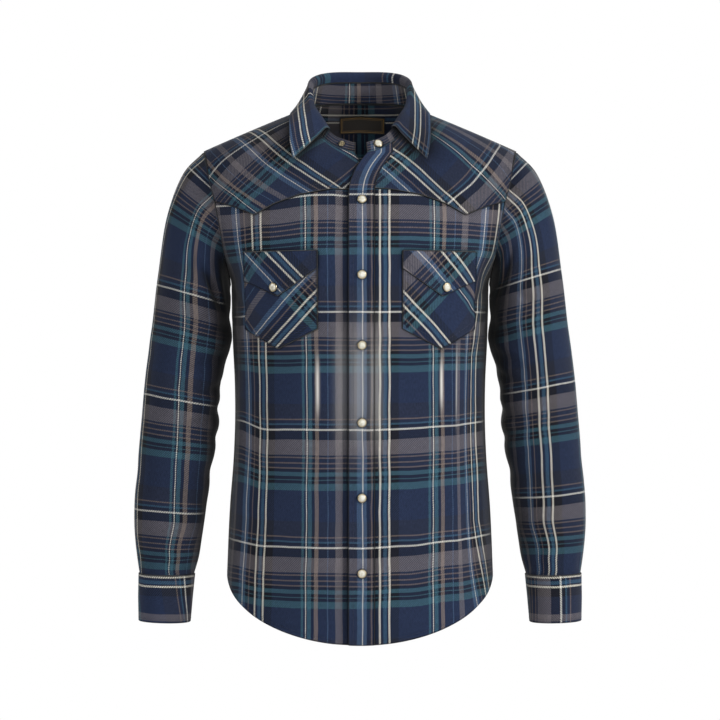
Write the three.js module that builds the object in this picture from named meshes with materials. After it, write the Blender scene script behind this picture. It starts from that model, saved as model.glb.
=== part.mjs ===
// A man's western snap shirt in its worn, filled-out form with no wearer inside.
// Millimetres, +Z up. The front faces -Y and the wearer's left is +X. The origin is at
// the middle of the neck, level with the shoulders that carry the shirt.
import * as THREE from 'three';

// Cloth and seams
const WALL = 1.2; // thickness of one panel
const SEAM = 0.35; // gap between pieces that are sewn together
const LAYER = WALL + SEAM; // how far out each laid-on piece sits
const YOKE_GAP = 0.5; // yokes lie over the neck's sides, where the cloth turns sharply
const END_SHORT = 1.5; // how far a laid-on piece ends short of an armhole or cuff
const SNAP_SEAT = 0.6; // a snap's flat base over the curved cloth below it

// Neck ring, where the collar stand meets the panels
const NECK_HALF = 74; // half width
const NECK_MID_Y = 4; // Y of the neck's side points
const NECK_FRONT = 89; // reach forward of the side points
const NECK_BACK = 62; // reach backward of the side points
const NECK_SIDE_Z = 4;
const NECK_FRONT_DROP = 69;
const NECK_BACK_RISE = 14;

// Shoulder seam, from the neck to the shoulder point
const SHOULDER = new THREE.Vector3(218, 2, -57);
const SHOULDER_ARCH = 4.2; // four times how far its middle bows up

// Hem: it rises from the front and back to a notch at each side seam
const SIDE_NOTCH_Z = -640;
const HEM_DROP = { front: 87, back: 95 };
const HEM_POWER = 1.12; // how late, towards the sides, the hem rises
const UNDERARM_Z = -240;
const SQUARENESS = 0.85; // 1 is an ellipse, less is boxier
const ABOUT_HALF = 190; // rough half width, to start a search from

// Body sections below the underarm
const BODY = [
  { z: -760, half: 187, front: 120, back: 119 },
  { z: -640, half: 184.5, front: 119, back: 117 },
  { z: -546, half: 180.5, front: 117, back: 108 },
  { z: -480, half: 175.5, front: 116.5, back: 103 },
  { z: -425, half: 173.5, front: 117, back: 101 },
  { z: -373, half: 174, front: 120, back: 105 },
  { z: -320, half: 176.5, front: 125, back: 113 },
  { z: -240, half: 178.5, front: 130, back: 122 },
];

// Rows above the underarm. Each runs from the centre line to the armhole edge.
// wrap is how much of a quarter turn the row covers.
const YOKE_ROWS = {
  front: [
    { place: -240, centreY: -130, centreZ: -240, edgeX: 178.5, edgeY: 0, edgeZ: -240, wrap: 1 },
    { place: -205, centreY: -129, centreZ: -205, edgeX: 185, edgeY: -46, edgeZ: -205, wrap: 0.85 },
    { place: -167, centreY: -122, centreZ: -168, edgeX: 191, edgeY: -58, edgeZ: -165, wrap: 0.76 },
    { place: -133, centreY: -111, centreZ: -134, edgeX: 198, edgeY: -53, edgeZ: -129, wrap: 0.72 },
    { place: -103, centreY: -98, centreZ: -101, edgeX: 206, edgeY: -36, edgeZ: -98, wrap: 0.76 },
  ],
  back: [
    { place: -240, centreY: 122, centreZ: -240, edgeX: 178.5, edgeY: 0, edgeZ: -240, wrap: 1 },
    { place: -205, centreY: 121, centreZ: -203, edgeX: 186, edgeY: 44, edgeZ: -210, wrap: 0.86 },
    { place: -167, centreY: 117, centreZ: -160, edgeX: 194, edgeY: 63, edgeZ: -174, wrap: 0.76 },
    { place: -133, centreY: 109, centreZ: -115, edgeX: 200, edgeY: 61, edgeZ: -136, wrap: 0.7 },
    { place: -103, centreY: 95, centreZ: -65, edgeX: 207, edgeY: 40, edgeZ: -97, wrap: 0.72 },
  ],
};
const ARCH_PLACES = [-84, -64]; // two rows between the last row and the top edge
const TOP_PLACE = -42;
const BELOW_UNDERARM = -300;
const LOWER_SHARE = 0.66; // share of v that lies below the underarm
const NECK_SHARE = 0.34; // share of u, from the centre line, that the neckline takes
const NECK_CENTRE_BEND = 0.3; // how far the panel arches at the neck's centre, of a quarter turn
const BEND_SPAN = { front: 0.75, back: 0.3 }; // u at which that becomes a full quarter

// Front edges near the neck, where the two fronts part
const LAP = 15; // the fronts lap this far past the centre line, each way
const LEFT_EDGE = { from: -122, span: 57, shift: 25, power: 2 };
const RIGHT_EDGE = { from: -118, span: 53, shift: 22, power: 1.5 };
// The wearer's right front sinks where it passes below the left one
const UNDERLAP = { depth: 3.6, fromX: 40, spanX: 22, fromZ: -78, spanZ: 12 };

// Sleeve sections from the upper arm to the cuff seam, outer side away from the body
const SLEEVE = [
  { outX: 280, outZ: -223, inX: 182, inZ: -268, depth: 66, midY: 2 },
  { outX: 289, outZ: -297, inX: 180, inZ: -304, depth: 62, midY: 2 },
  { outX: 292.3, outZ: -320, inX: 179.4, inZ: -326, depth: 61, midY: 1.5 },
  { outX: 294.5, outZ: -338, inX: 186.5, inZ: -346, depth: 60, midY: 1 },
  { outX: 298.5, outZ: -372, inX: 192, inZ: -381, depth: 58, midY: 0 },
  { outX: 303, outZ: -425, inX: 195.5, inZ: -434, depth: 55, midY: -2 },
  { outX: 308.5, outZ: -490, inX: 205.5, inZ: -498, depth: 52, midY: -5 },
  { outX: 312.5, outZ: -545, inX: 213.5, inZ: -553, depth: 49, midY: -8 },
  { outX: 312, outZ: -584, inX: 219, inZ: -591, depth: 47, midY: -10 },
  { outX: 309, outZ: -615, inX: 223.5, inZ: -619, depth: 44, midY: -11 },
  { outX: 305, outZ: -639.1, inX: 229.8, inZ: -640.6, depth: 39, midY: -12 },
];
const CUFF = [
  { outX: 306.5, outZ: -639.5, inX: 228.3, inZ: -641, depth: 41, midY: -12 },
  { outX: 307, outZ: -672, inX: 231.5, inZ: -673.5, depth: 38.5, midY: -13 },
  { outX: 306.3, outZ: -704, inX: 234.3, inZ: -706, depth: 36, midY: -14 },
];
const SLEEVE_SQUARENESS = 0.92;
const SLEEVE_START = 0.7; // sideways gap at the armhole, which slopes
const CAP_ARCH = 0.75; // roundness of the sleeve's cap, 0 is straight and 1 a quarter ellipse
const CAP_SHARES = [1 / 3, 2 / 3]; // two rows between the armhole and the first section
const CAP_STEP = 32; // length of cloth between those rows
const UNDERARM_TURNS = { from: 30, span: 50 };

// Largest folds of a sleeve: soft troughs, placed by angle (0 outer, 90 front, 180 inner,
// 270 back) and height, each wide degrees and high mm with a tilt along the angle
const SLEEVE_FOLDS = [
  { angle: 150, z: -300, wide: 50, high: 13, tilt: 0.5, depth: 3.0 },
  { angle: 135, z: -345, wide: 60, high: 12, tilt: 0.45, depth: 2.6 },
  { angle: 165, z: -418, wide: 65, high: 11, tilt: 0.25, depth: 4.2 },
  { angle: 160, z: -447, wide: 55, high: 10, tilt: -0.2, depth: 3.4 },
  { angle: 175, z: -500, wide: 50, high: 14, tilt: 0.2, depth: 2.6 },
  { angle: 215, z: -395, wide: 55, high: 13, tilt: -0.3, depth: 3.0 },
  { angle: 60, z: -612, wide: 28, high: 30, tilt: 0, depth: 2.4 },
  { angle: 130, z: -615, wide: 24, high: 30, tilt: 0, depth: 2.4 },
  { angle: 235, z: -612, wide: 26, high: 32, tilt: 0, depth: 2.6 },
  { angle: 330, z: -612, wide: 26, high: 28, tilt: 0, depth: 2.2 },
  { angle: 300, z: -300, wide: 40, high: 40, tilt: 0.3, depth: 2.2 },
];
// Largest folds of the body: soft upright troughs by turn from the centre line (90 is the
// side seam) and height
const BODY_FOLDS = {
  front: [
    { angle: 74, z: -300, wide: 7, high: 90, depth: 3.2 },
    { angle: 58, z: -430, wide: 8, high: 110, depth: 2.2 },
    { angle: 36, z: -620, wide: 9, high: 70, depth: 1.8 },
    { angle: 78, z: -560, wide: 8, high: 80, depth: 2.4 },
  ],
  back: [
    { angle: 30, z: -430, wide: 11, high: 130, depth: 3.4 },
    { angle: 62, z: -360, wide: 9, high: 120, depth: 3.2 },
    { angle: 48, z: -590, wide: 9, high: 90, depth: 2.4 },
    { angle: 76, z: -480, wide: 8, high: 90, depth: 2.6 },
  ],
};

// Shares of u, or of the sleeve's length, over which folds die out towards an edge
const FADE = { side: 0.06, centre: 0.1, cap: 0.12, cuff: 0.04 };

// Lower edges of the laid-on pieces, by distance from the centre line
const FRONT_LINES = {
  pocketFoot: [
    { x: 57, z: -303 },
    { x: 110, z: -330 },
    { x: 156, z: -303 },
  ],
  flapFoot: [
    { x: 57, z: -222 },
    { x: 110, z: -259 },
    { x: 156, z: -237 },
    { x: 178.5, z: UNDERARM_Z },
  ],
  flapTop: [
    { x: 57, z: -199 },
    { x: 156, z: -199 },
  ],
  yokeFoot: [
    { x: 0, z: -113 },
    { x: 40, z: -115 },
    { x: 80, z: -122 },
    { x: 115, z: -134 },
    { x: 142, z: -149 },
    { x: 170, z: -137 },
    { x: 205, z: -126 },
  ],
};
const BACK_LINES = {
  waist: [
    { x: 0, z: -430 },
    { x: 205, z: -430 },
  ],
  chest: [
    { x: 0, z: -250 },
    { x: 178.5, z: UNDERARM_Z },
  ],
  yokeFoot: [
    { x: 0, z: -165 },
    { x: 25, z: -150 },
    { x: 90, z: -117 },
    { x: 140, z: -113 },
    { x: 205, z: -122 },
  ],
  labelFoot: [
    { x: 0, z: -21 },
    { x: 80, z: -25 },
    { x: 120, z: -48 },
    { x: 205, z: -79 },
  ],
  labelTop: [
    { x: 0, z: 2 },
    { x: 70, z: -3 },
    { x: 120, z: -28 },
    { x: 205, z: -68 },
  ],
};

// Rows of a panel, in bands from one line to the next, the hem first and the top last
const FRONT_BANDS = [
  { from: 'hem', to: 'pocketFoot', rows: 8 },
  { from: 'pocketFoot', to: 'flapFoot', rows: 3 },
  { from: 'flapFoot', to: 'flapTop', rows: 3 },
  { from: 'flapTop', to: 'yokeFoot', rows: 3 },
  { from: 'yokeFoot', to: 'top', rows: 5 },
];
const BACK_BANDS = [
  { from: 'hem', to: 'waist', rows: 5 },
  { from: 'waist', to: 'chest', rows: 3 },
  { from: 'chest', to: 'yokeFoot', rows: 6 },
  { from: 'yokeFoot', to: 'labelFoot', rows: 4 },
  { from: 'labelFoot', to: 'labelTop', rows: 1 },
  { from: 'labelTop', to: 'top', rows: 1 },
];

// Columns of a front, from its front edge to the side. Each keeps a distance from that
// edge, or lies halfway to the next one, or keeps an x below the chest and a u at the top,
// or shares out what is left to the side.
const FRONT_COLUMNS = [
  { name: 'edge', moved: 0 },
  { moved: 17 },
  { name: 'placketEdge', moved: 34 },
  { name: 'yokeEdge', moved: 34.35 },
  { halfway: true },
  { name: 'pocketIn', x: 57, top: 0.25 },
  { name: 'neck', x: 76, top: 0.34 },
  { x: 93, top: 0.41 },
  { x: 110, top: 0.48 },
  { x: 126, top: 0.55 },
  { x: 142, top: 0.63 },
  { name: 'pocketOut', x: 156, top: 0.7 },
  { rest: 0.25 },
  { rest: 0.5 },
  { rest: 0.75 },
  { name: 'side', rest: 1 },
];
// Columns of the back, from its centre line to each side. The label's edges are the first.
const BACK_COLUMNS = {
  left: [0.115, 0.18, 0.255, 0.34, 0.42, 0.5, 0.59, 0.68, 0.76, 0.84, 0.92, 1],
  right: [0.093, 0.17, 0.25, 0.34, 0.42, 0.5, 0.59, 0.68, 0.76, 0.84, 0.92, 1],
};
const FLAP_SNAP = { x: 115, z: -247 };

// Collar: stand height and lean by turn round the neck, and the leaf's outer edge by the
// share from its front end to the back centre
const STAND = [
  { turn: 0, height: 17, lean: 33 },
  { turn: 20, height: 18, lean: 34 },
  { turn: 36, height: 17.5, lean: 43 },
  { turn: 46, height: 18, lean: 40 },
  { turn: 56, height: 19.5, lean: 24 },
  { turn: 66, height: 20, lean: 14 },
  { turn: 78, height: 23, lean: 14 },
  { turn: 90, height: 25, lean: 14 },
  { turn: 108, height: 26.5, lean: 13 },
  { turn: 135, height: 29, lean: 10 },
  { turn: 180, height: 29, lean: 8 },
];
const STAND_INSET = 0.6; // inward of the neck edge
const STAND_LIFT = 0.65; // above the neck edge
const STAND_SNAP_TURN = 21;
const LEAF_START = { left: 44, right: 41 }; // its ends are the first columns past these
// rise and roll say how far above and outside the stand's top edge the leaf folds
const LEAF = [
  { along: 0, x: 90.5, y: -101, z: -74, rise: 1.5, roll: 7.5 },
  { along: 0.05, x: 94, y: -92, z: -56, rise: 2.2, roll: 6.6 },
  { along: 0.12, x: 96, y: -74, z: -33, rise: 3.2, roll: 5.4 },
  { along: 0.2, x: 96, y: -53, z: -14, rise: 5, roll: 4.2 },
  { along: 0.35, x: 92, y: 2, z: 1, rise: 10, roll: 3.2 },
  { along: 0.57, x: 82, y: 50, z: 6, rise: 13, roll: 3 },
  { along: 0.79, x: 47, y: 77, z: 8, rise: 14, roll: 3 },
  { along: 1, x: 0, y: 84, z: 9, rise: 14, roll: 3 },
];
const LEAF_GAP = 0.8; // along the stand, whose top edge slopes
const LEAF_BULGE = -1; // how far its fall stands away from a straight line

// Snaps
const SNAP = { radius: 6, ring: 4.6, height: 2.6, rim: 1.1 };
const STUD = { radius: 4.2, ring: 2, height: 3.2, rim: 0.8 };
const FRONT_SNAP_X = 2.7;
const FRONT_SNAP_Z = [-130, -231, -325, -429, -530, -631];
const LABEL_WALL = 0.6;

const CLOTH = { color: 0x2c3850, roughness: 0.9, metalness: 0 };
const BIAS_CLOTH = { color: 0x3b4257, roughness: 0.9, metalness: 0 };
const PEARL = { color: 0xd8d3c0, roughness: 0.3, metalness: 0.1 };
const METAL = { color: 0xb7a98a, roughness: 0.35, metalness: 0.9 };
const LABEL_CLOTH = { color: 0x1d1a16, roughness: 0.8, metalness: 0 };

const TO_RAD = Math.PI / 180;
const NUDGE = 1e-3;
const SEARCH_STEPS = 12;
const HALVINGS = 22;
const LEAST_U = -0.4; // as far past the centre line as a front's edge can reach
const CHEST_U = 0.4; // a column over the pocket
const clamp01 = (t) => Math.min(1, Math.max(0, t));
const mix = (a, b, t) => a + (b - a) * t;
const smoothStep = (t) => clamp01(t) ** 2 * (3 - 2 * clamp01(t));
const evenly = (count) => Array.from({ length: count + 1 }, (_, i) => i / count);
const vec = (x, y, z) => new THREE.Vector3(x, y, z);

// Smooth value through unevenly spaced places; values are numbers or vectors
function through(places, values, at) {
  const last = places.length - 1;
  let k = 0;
  while (k < last - 1 && at > places[k + 1]) k += 1;
  const isVector = values[0].isVector3;
  const difference = (i, j) => {
    const gap = places[j] - places[i];
    return isVector
      ? values[j].clone().sub(values[i]).divideScalar(gap)
      : (values[j] - values[i]) / gap;
  };
  const slope = (i) => {
    if (i === 0) return difference(0, 1);
    if (i === last) return difference(last - 1, last);
    const before = places[i] - places[i - 1];
    const after = places[i + 1] - places[i];
    const a = difference(i - 1, i);
    const b = difference(i, i + 1);
    return isVector
      ? a.multiplyScalar(after).add(b.multiplyScalar(before)).divideScalar(before + after)
      : (a * after + b * before) / (before + after);
  };
  const gap = places[k + 1] - places[k];
  const t = (at - places[k]) / gap;
  const weights = [
    2 * t ** 3 - 3 * t ** 2 + 1,
    (t ** 3 - 2 * t ** 2 + t) * gap,
    -2 * t ** 3 + 3 * t ** 2,
    (t ** 3 - t ** 2) * gap,
  ];
  const parts = [values[k], slope(k), values[k + 1], slope(k + 1)];
  if (!isVector) return parts.reduce((sum, p, i) => sum + p * weights[i], 0);
  const sum = vec(0, 0, 0);
  parts.forEach((p, i) => sum.addScaledVector(p, weights[i]));
  return sum;
}

// Smooth value of one column of a table at a place in its key column
function read(table, key, column, at) {
  const rows = [...table].sort((a, b) => a[key] - b[key]);
  return through(rows.map((r) => r[key]), rows.map((r) => r[column]), at);
}

// Straight-line value of a table's column, for edges with a real corner
function readStraight(table, key, column, at) {
  let k = 0;
  while (k < table.length - 2 && at > table[k + 1][key]) k += 1;
  const a = table[k];
  const b = table[k + 1];
  return mix(a[column], b[column], clamp01((at - a[key]) / (b[key] - a[key])));
}

const boxy = (angle) => Math.max(0, Math.cos(angle)) ** SQUARENESS;

// Point of the neck ring; turn is 0 at the front centre, 90 at the side, 180 at the back
function neckPoint(turn) {
  const c = Math.cos(turn * TO_RAD);
  const reach = c > 0 ? NECK_FRONT : NECK_BACK;
  const z = c > 0
    ? NECK_SIDE_Z - NECK_FRONT_DROP * c ** 1.2
    : NECK_SIDE_Z + NECK_BACK_RISE * (-c) ** 0.8;
  return vec(NECK_HALF * Math.sin(turn * TO_RAD), NECK_MID_Y - reach * c, z);
}

// Shoulder seam, t from the neck to the shoulder point
function shoulderPoint(t) {
  const start = neckPoint(90);
  const point = start.clone().lerp(SHOULDER, t);
  point.z += SHOULDER_ARCH * t * (1 - t);
  return point;
}

// Top edge of a panel: the neckline, then the shoulder seam
function topEdge(side, u) {
  if (u >= NECK_SHARE) return shoulderPoint((u - NECK_SHARE) / (1 - NECK_SHARE));
  const turn = (90 * u) / NECK_SHARE;
  return neckPoint(side === 'front' ? turn : 180 - turn);
}

// Point of the body's form below the underarm
function bodyPoint(side, u, z) {
  const angle = u * 90 * TO_RAD;
  const sign = side === 'front' ? -1 : 1;
  const half = read(BODY, 'z', 'half', z);
  const reach = read(BODY, 'z', side, z);
  return vec(half * Math.sin(angle), sign * reach * boxy(angle), z);
}

function rowPoint(row, u) {
  const full = 90 * TO_RAD * row.wrap;
  const angle = u * full;
  const turned = (1 - boxy(angle)) / (1 - boxy(full));
  return vec(
    (row.edgeX * Math.sin(angle)) / Math.sin(full),
    mix(row.centreY, row.edgeY, turned),
    mix(row.centreZ, row.edgeZ, Math.sin(u * 90 * TO_RAD) ** 2),
  );
}

// Depth of the troughs at a place of the form
function troughs(folds, angle, z, fullTurn) {
  return folds.reduce((sum, f) => {
    let off = angle - f.angle;
    if (fullTurn) off = ((off + 540) % 360) - 180;
    const up = z - f.z - off * (f.tilt || 0);
    return sum + f.depth * Math.exp(-((off / f.wide) ** 2) - (up / f.high) ** 2);
  }, 0);
}

// Point of a panel's outer face without its folds; u from the centre line to the side,
// v from the hem to the top edge
function smoothPanel(side, u, v) {
  if (v < LOWER_SHARE) {
    const hem = SIDE_NOTCH_Z - HEM_DROP[side] * Math.max(0, Math.cos(u * 90 * TO_RAD)) ** HEM_POWER;
    return bodyPoint(side, u, mix(hem, UNDERARM_Z, v / LOWER_SHARE));
  }
  const rows = YOKE_ROWS[side];
  const top = topEdge(side, u);
  const last = rowPoint(rows[rows.length - 1], u);
  const bend = mix(NECK_CENTRE_BEND, 1, smoothStep(u / BEND_SPAN[side]));
  const arch = ARCH_PLACES.map((_, i) => {
    const t = (i + 1) / (ARCH_PLACES.length + 1);
    const quarter = t * 90 * TO_RAD;
    return vec(
      mix(last.x, top.x, t),
      mix(last.y, top.y, mix(t, 1 - Math.cos(quarter), bend)),
      mix(last.z, top.z, mix(t, Math.sin(quarter), bend)),
    );
  });
  const places = [BELOW_UNDERARM, ...rows.map((r) => r.place), ...ARCH_PLACES, TOP_PLACE];
  const points = [bodyPoint(side, u, BELOW_UNDERARM), ...rows.map((r) => rowPoint(r, u)), ...arch, top];
  const at = mix(UNDERARM_Z, TOP_PLACE, (v - LOWER_SHARE) / (1 - LOWER_SHARE));
  return through(places, points, at);
}

// Point and outward normal of a panel, moved out by a distance; the wearer's left side
function panelPoint(side, u, v, out) {
  const at = smoothPanel(side, u, v);
  const v1 = Math.min(1, v + NUDGE);
  const v0 = Math.max(0, v1 - 2 * NUDGE);
  const across = smoothPanel(side, u + NUDGE, v).sub(smoothPanel(side, u - NUDGE, v));
  const up = smoothPanel(side, u, v1).sub(smoothPanel(side, u, v0));
  const normal = across.cross(up).normalize();
  if (side === 'back') normal.negate();
  const onSideSeam = u > 0.999 && v <= LOWER_SHARE;
  const onShoulder = v > 0.999 && u >= NECK_SHARE;
  if (onSideSeam || onShoulder) normal.setY(0).normalize();
  const sunk = u < 0.995 && v < 0.97 ? troughs(BODY_FOLDS[side], u * 90, at.z) : 0;
  at.y += side === 'front' ? -SEAM / 2 : SEAM / 2;
  return { at: at.addScaledVector(normal, out - sunk * edgeFade(u)), normal };
}

// Folds die out at the side seam and at the centre line
function edgeFade(u) {
  return clamp01((1 - u) / FADE.side) * clamp01((Math.abs(u) - FADE.centre) / FADE.centre);
}

// u of the panel point with a wanted x at height share v
function uAtX(side, v, wanted) {
  let u = wanted / ABOUT_HALF;
  for (let i = 0; i < SEARCH_STEPS; i += 1) {
    const here = smoothPanel(side, u, v);
    u += (wanted - here.x) / ((smoothPanel(side, u + NUDGE, v).x - here.x) / NUDGE);
    u = Math.min(1, Math.max(LEAST_U, u));
  }
  return u;
}

// Height share at which column u crosses a line, given as z by x
function vAtLine(side, u, line) {
  let low = 0;
  let high = 1;
  for (let i = 0; i < HALVINGS; i += 1) {
    const middle = (low + high) / 2;
    const here = smoothPanel(side, u, middle);
    if (here.z < readStraight(line, 'x', 'z', here.x)) low = middle;
    else high = middle;
  }
  return (low + high) / 2;
}

function vAtName(side, u, name) {
  if (name === 'hem') return 0;
  if (name === 'top') return 1;
  return vAtLine(side, u, (side === 'front' ? FRONT_LINES : BACK_LINES)[name]);
}

// u and v of a place with a wanted x and z on a front
function locate(x, z) {
  const level = [{ x: -ABOUT_HALF, z }, { x: ABOUT_HALF, z }];
  let v = 0.5;
  let u = 0;
  for (let i = 0; i < 5; i += 1) {
    u = uAtX('front', v, x);
    v = vAtLine('front', u, level);
  }
  return { u, v };
}

// Front edge of each front: x by height, in the wearer's own side (+ is towards the sleeve)
function frontEdge(whose, z) {
  const e = whose === 'left' ? LEFT_EDGE : RIGHT_EDGE;
  const opened = clamp01((z - e.from) / e.span) ** e.power;
  return -LAP + e.shift * opened;
}

function movedU(whose, v, moved) {
  let u = 0;
  for (let i = 0; i < 4; i += 1) {
    u = uAtX('front', v, frontEdge(whose, smoothPanel('front', u, v).z) + moved);
  }
  return u;
}

function underlap(at) {
  const across = smoothStep((UNDERLAP.fromX - at.x) / UNDERLAP.spanX);
  return UNDERLAP.depth * across * (1 - smoothStep((at.z - UNDERLAP.fromZ) / UNDERLAP.spanZ));
}

// u of a front's column at height share v
function columnU(whose, column, v, chestV) {
  if ('moved' in column) return movedU(whose, v, column.moved);
  if (column.halfway) {
    const ends = ['yokeEdge', 'pocketIn'].map((name) => columnU(whose, columnNamed(name), v, chestV));
    return (ends[0] + ends[1]) / 2;
  }
  if ('rest' in column) return mix(columnU(whose, columnNamed('pocketOut'), v, chestV), 1, column.rest);
  return mix(uAtX('front', v, column.x), column.top, smoothStep((v - chestV) / (1 - chestV)));
}

const columnNamed = (name) => FRONT_COLUMNS.find((c) => c.name === name);
const columnIndex = (name) => FRONT_COLUMNS.indexOf(columnNamed(name));

// Rows of all bands as pairs of line names and a share between them
function bandRows(bands) {
  const rows = bands.flatMap((b) => evenly(b.rows).slice(0, -1).map((share) => ({ ...b, share })));
  return [...rows, { ...bands[bands.length - 1], share: 1 }];
}

function rowIndex(bands, name) {
  let count = 0;
  for (const b of bands) {
    if (b.from === name) return count;
    count += b.rows;
  }
  return count;
}

const rowV = (side, u, row) => mix(vAtName(side, u, row.from), vAtName(side, u, row.to), row.share);

// Places of a front's grid, row by row
function frontPlaces(whose) {
  const chestV = vAtName('front', CHEST_U, 'flapTop');
  return bandRows(FRONT_BANDS).map((row) => FRONT_COLUMNS.map((column) => {
    let u = CHEST_U;
    let v = rowV('front', u, row);
    for (let i = 0; i < 3; i += 1) {
      u = columnU(whose, column, v, chestV);
      v = rowV('front', u, row);
    }
    return { u, v };
  }));
}

function backPlaces() {
  const columns = [...BACK_COLUMNS.right.map((u) => -u).reverse(), 0, ...BACK_COLUMNS.left];
  return bandRows(BACK_BANDS).map((row) => columns.map((u) => ({ u, v: rowV('back', Math.abs(u), row) })));
}

// One closed solid between an outer and an inner grid of points, rows by columns
function solidBetween(outer, inner, closed) {
  const rows = outer.length;
  const columns = outer[0].length;
  const positions = [];
  [outer, inner].forEach((grid) => grid.flat().forEach((p) => positions.push(p.x, p.y, p.z)));
  const at = (layer, i, j) => layer * rows * columns + i * columns + (j % columns);
  const index = [];
  const quad = (a, b, c, d) => index.push(a, b, c, a, c, d);
  const spans = closed ? columns : columns - 1;
  for (let i = 0; i < rows - 1; i += 1) {
    for (let j = 0; j < spans; j += 1) {
      quad(at(0, i, j), at(0, i, j + 1), at(0, i + 1, j + 1), at(0, i + 1, j));
      quad(at(1, i, j), at(1, i + 1, j), at(1, i + 1, j + 1), at(1, i, j + 1));
    }
    if (!closed) {
      quad(at(0, i, 0), at(0, i + 1, 0), at(1, i + 1, 0), at(1, i, 0));
      const e = columns - 1;
      quad(at(0, i, e), at(1, i, e), at(1, i + 1, e), at(0, i + 1, e));
    }
  }
  for (let j = 0; j < spans; j += 1) {
    quad(at(0, 0, j), at(1, 0, j), at(1, 0, j + 1), at(0, 0, j + 1));
    const e = rows - 1;
    quad(at(0, e, j), at(0, e, j + 1), at(1, e, j + 1), at(1, e, j));
  }
  let volume = 0;
  const corner = (k) => vec(positions[3 * k], positions[3 * k + 1], positions[3 * k + 2]);
  for (let k = 0; k < index.length; k += 3) {
    volume += corner(index[k]).dot(corner(index[k + 1]).cross(corner(index[k + 2])));
  }
  if (volume < 0) {
    for (let k = 0; k < index.length; k += 3) {
      [index[k + 1], index[k + 2]] = [index[k + 2], index[k + 1]];
    }
  }
  const geometry = new THREE.BufferGeometry();
  geometry.setAttribute('position', new THREE.Float32BufferAttribute(positions, 3));
  geometry.setIndex(index);
  return geometry;
}

// Grid of points from a function of row and column shares
function grid(rowShares, columnShares, pointAt) {
  return rowShares.map((r) => columnShares.map((c) => pointAt(r, c)));
}

const mirrored = (points) => points.map((row) => row.map((p) => vec(-p.x, p.y, p.z)));

const shirt = new THREE.Group();

function addMesh(name, geometry, look) {
  const mesh = new THREE.Mesh(geometry, new THREE.MeshStandardMaterial(look));
  mesh.name = name;
  shirt.add(mesh);
  return mesh;
}

function addCloth(name, outer, inner, look, isMirrored = false, closed = false) {
  const pair = isMirrored ? [mirrored(outer), mirrored(inner)] : [outer, inner];
  addMesh(name, solidBetween(pair[0], pair[1], closed), look);
}

const FRONT_PLACES = { left: frontPlaces('left'), right: frontPlaces('right') };
const BACK_PLACES = backPlaces();

// Points of a front at some of its places, moved out by a distance
function frontPoints(whose, rows, columns, out) {
  return FRONT_PLACES[whose].slice(rows[0], rows[1] + 1).map((row) => (
    row.slice(columns[0], columns[1] + 1).map(({ u, v }) => {
      const sunk = whose === 'right' ? underlap(smoothPanel('front', u, v)) : 0;
      return panelPoint('front', u, v, out - sunk).at;
    })
  ));
}

function backPoints(rows, columns, out) {
  return BACK_PLACES.slice(rows[0], rows[1] + 1).map((row) => (
    row.slice(columns[0], columns[1] + 1).map(({ u, v }) => {
      const { at } = panelPoint('back', Math.abs(u), v, out);
      at.x *= Math.sign(u);
      return at;
    })
  ));
}

// Points with their side columns drawn back from the armhole, so a laid-on piece ends short
function drawnBack(points, ends) {
  const pull = (end, beside) => end.lerp(beside, END_SHORT / end.distanceTo(beside));
  points.forEach((row) => {
    const last = row.length - 1;
    pull(row[last], row[last - 1]);
    if (ends === 'both') pull(row[0], row[1]);
  });
  return points;
}

// A piece of a front between named rows and columns, its inner face at a distance out
function addOnFront(name, whose, rowNames, columnNames, out, look) {
  const rows = rowNames.map((n) => rowIndex(FRONT_BANDS, n));
  const columns = columnNames.map(columnIndex);
  const faces = [out + WALL, out].map((d) => frontPoints(whose, rows, columns, d));
  if (name === 'front_yoke') faces.forEach((points) => drawnBack(points, 'one'));
  addCloth(`${name}_${whose}`, faces[0], faces[1], look, whose === 'right');
}

function addFrontPieces(whose) {
  addOnFront('front', whose, ['hem', 'top'], ['edge', 'side'], -WALL, CLOTH);
  const yokeStart = whose === 'left' ? 'yokeEdge' : 'edge';
  addOnFront('front_yoke', whose, ['yokeFoot', 'top'], [yokeStart, 'side'], YOKE_GAP, BIAS_CLOTH);
  const pocketColumns = ['pocketIn', 'pocketOut'];
  addOnFront('pocket', whose, ['pocketFoot', 'flapTop'], pocketColumns, SEAM, BIAS_CLOTH);
  addOnFront('pocket_flap', whose, ['flapFoot', 'flapTop'], pocketColumns, LAYER + SEAM, BIAS_CLOTH);
}

function addBackPieces() {
  const all = [0, BACK_PLACES[0].length - 1];
  const centre = BACK_COLUMNS.right.length;
  const top = BACK_PLACES.length - 1;
  const yoke = [rowIndex(BACK_BANDS, 'yokeFoot'), top];
  const label = [rowIndex(BACK_BANDS, 'labelFoot'), rowIndex(BACK_BANDS, 'labelTop')];
  const labelOut = -WALL - SEAM;
  const labelColumns = [centre - 1, centre + 1];
  addCloth('back', backPoints([0, top], all, 0), backPoints([0, top], all, -WALL), CLOTH);
  const yokeFaces = [YOKE_GAP + WALL, YOKE_GAP].map((d) => drawnBack(backPoints(yoke, all, d), 'both'));
  addCloth('back_yoke', yokeFaces[0], yokeFaces[1], BIAS_CLOTH);
  const inside = backPoints(label, labelColumns, labelOut - LABEL_WALL);
  addCloth('neck_label', backPoints(label, labelColumns, labelOut), inside, LABEL_CLOTH);
}

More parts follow.
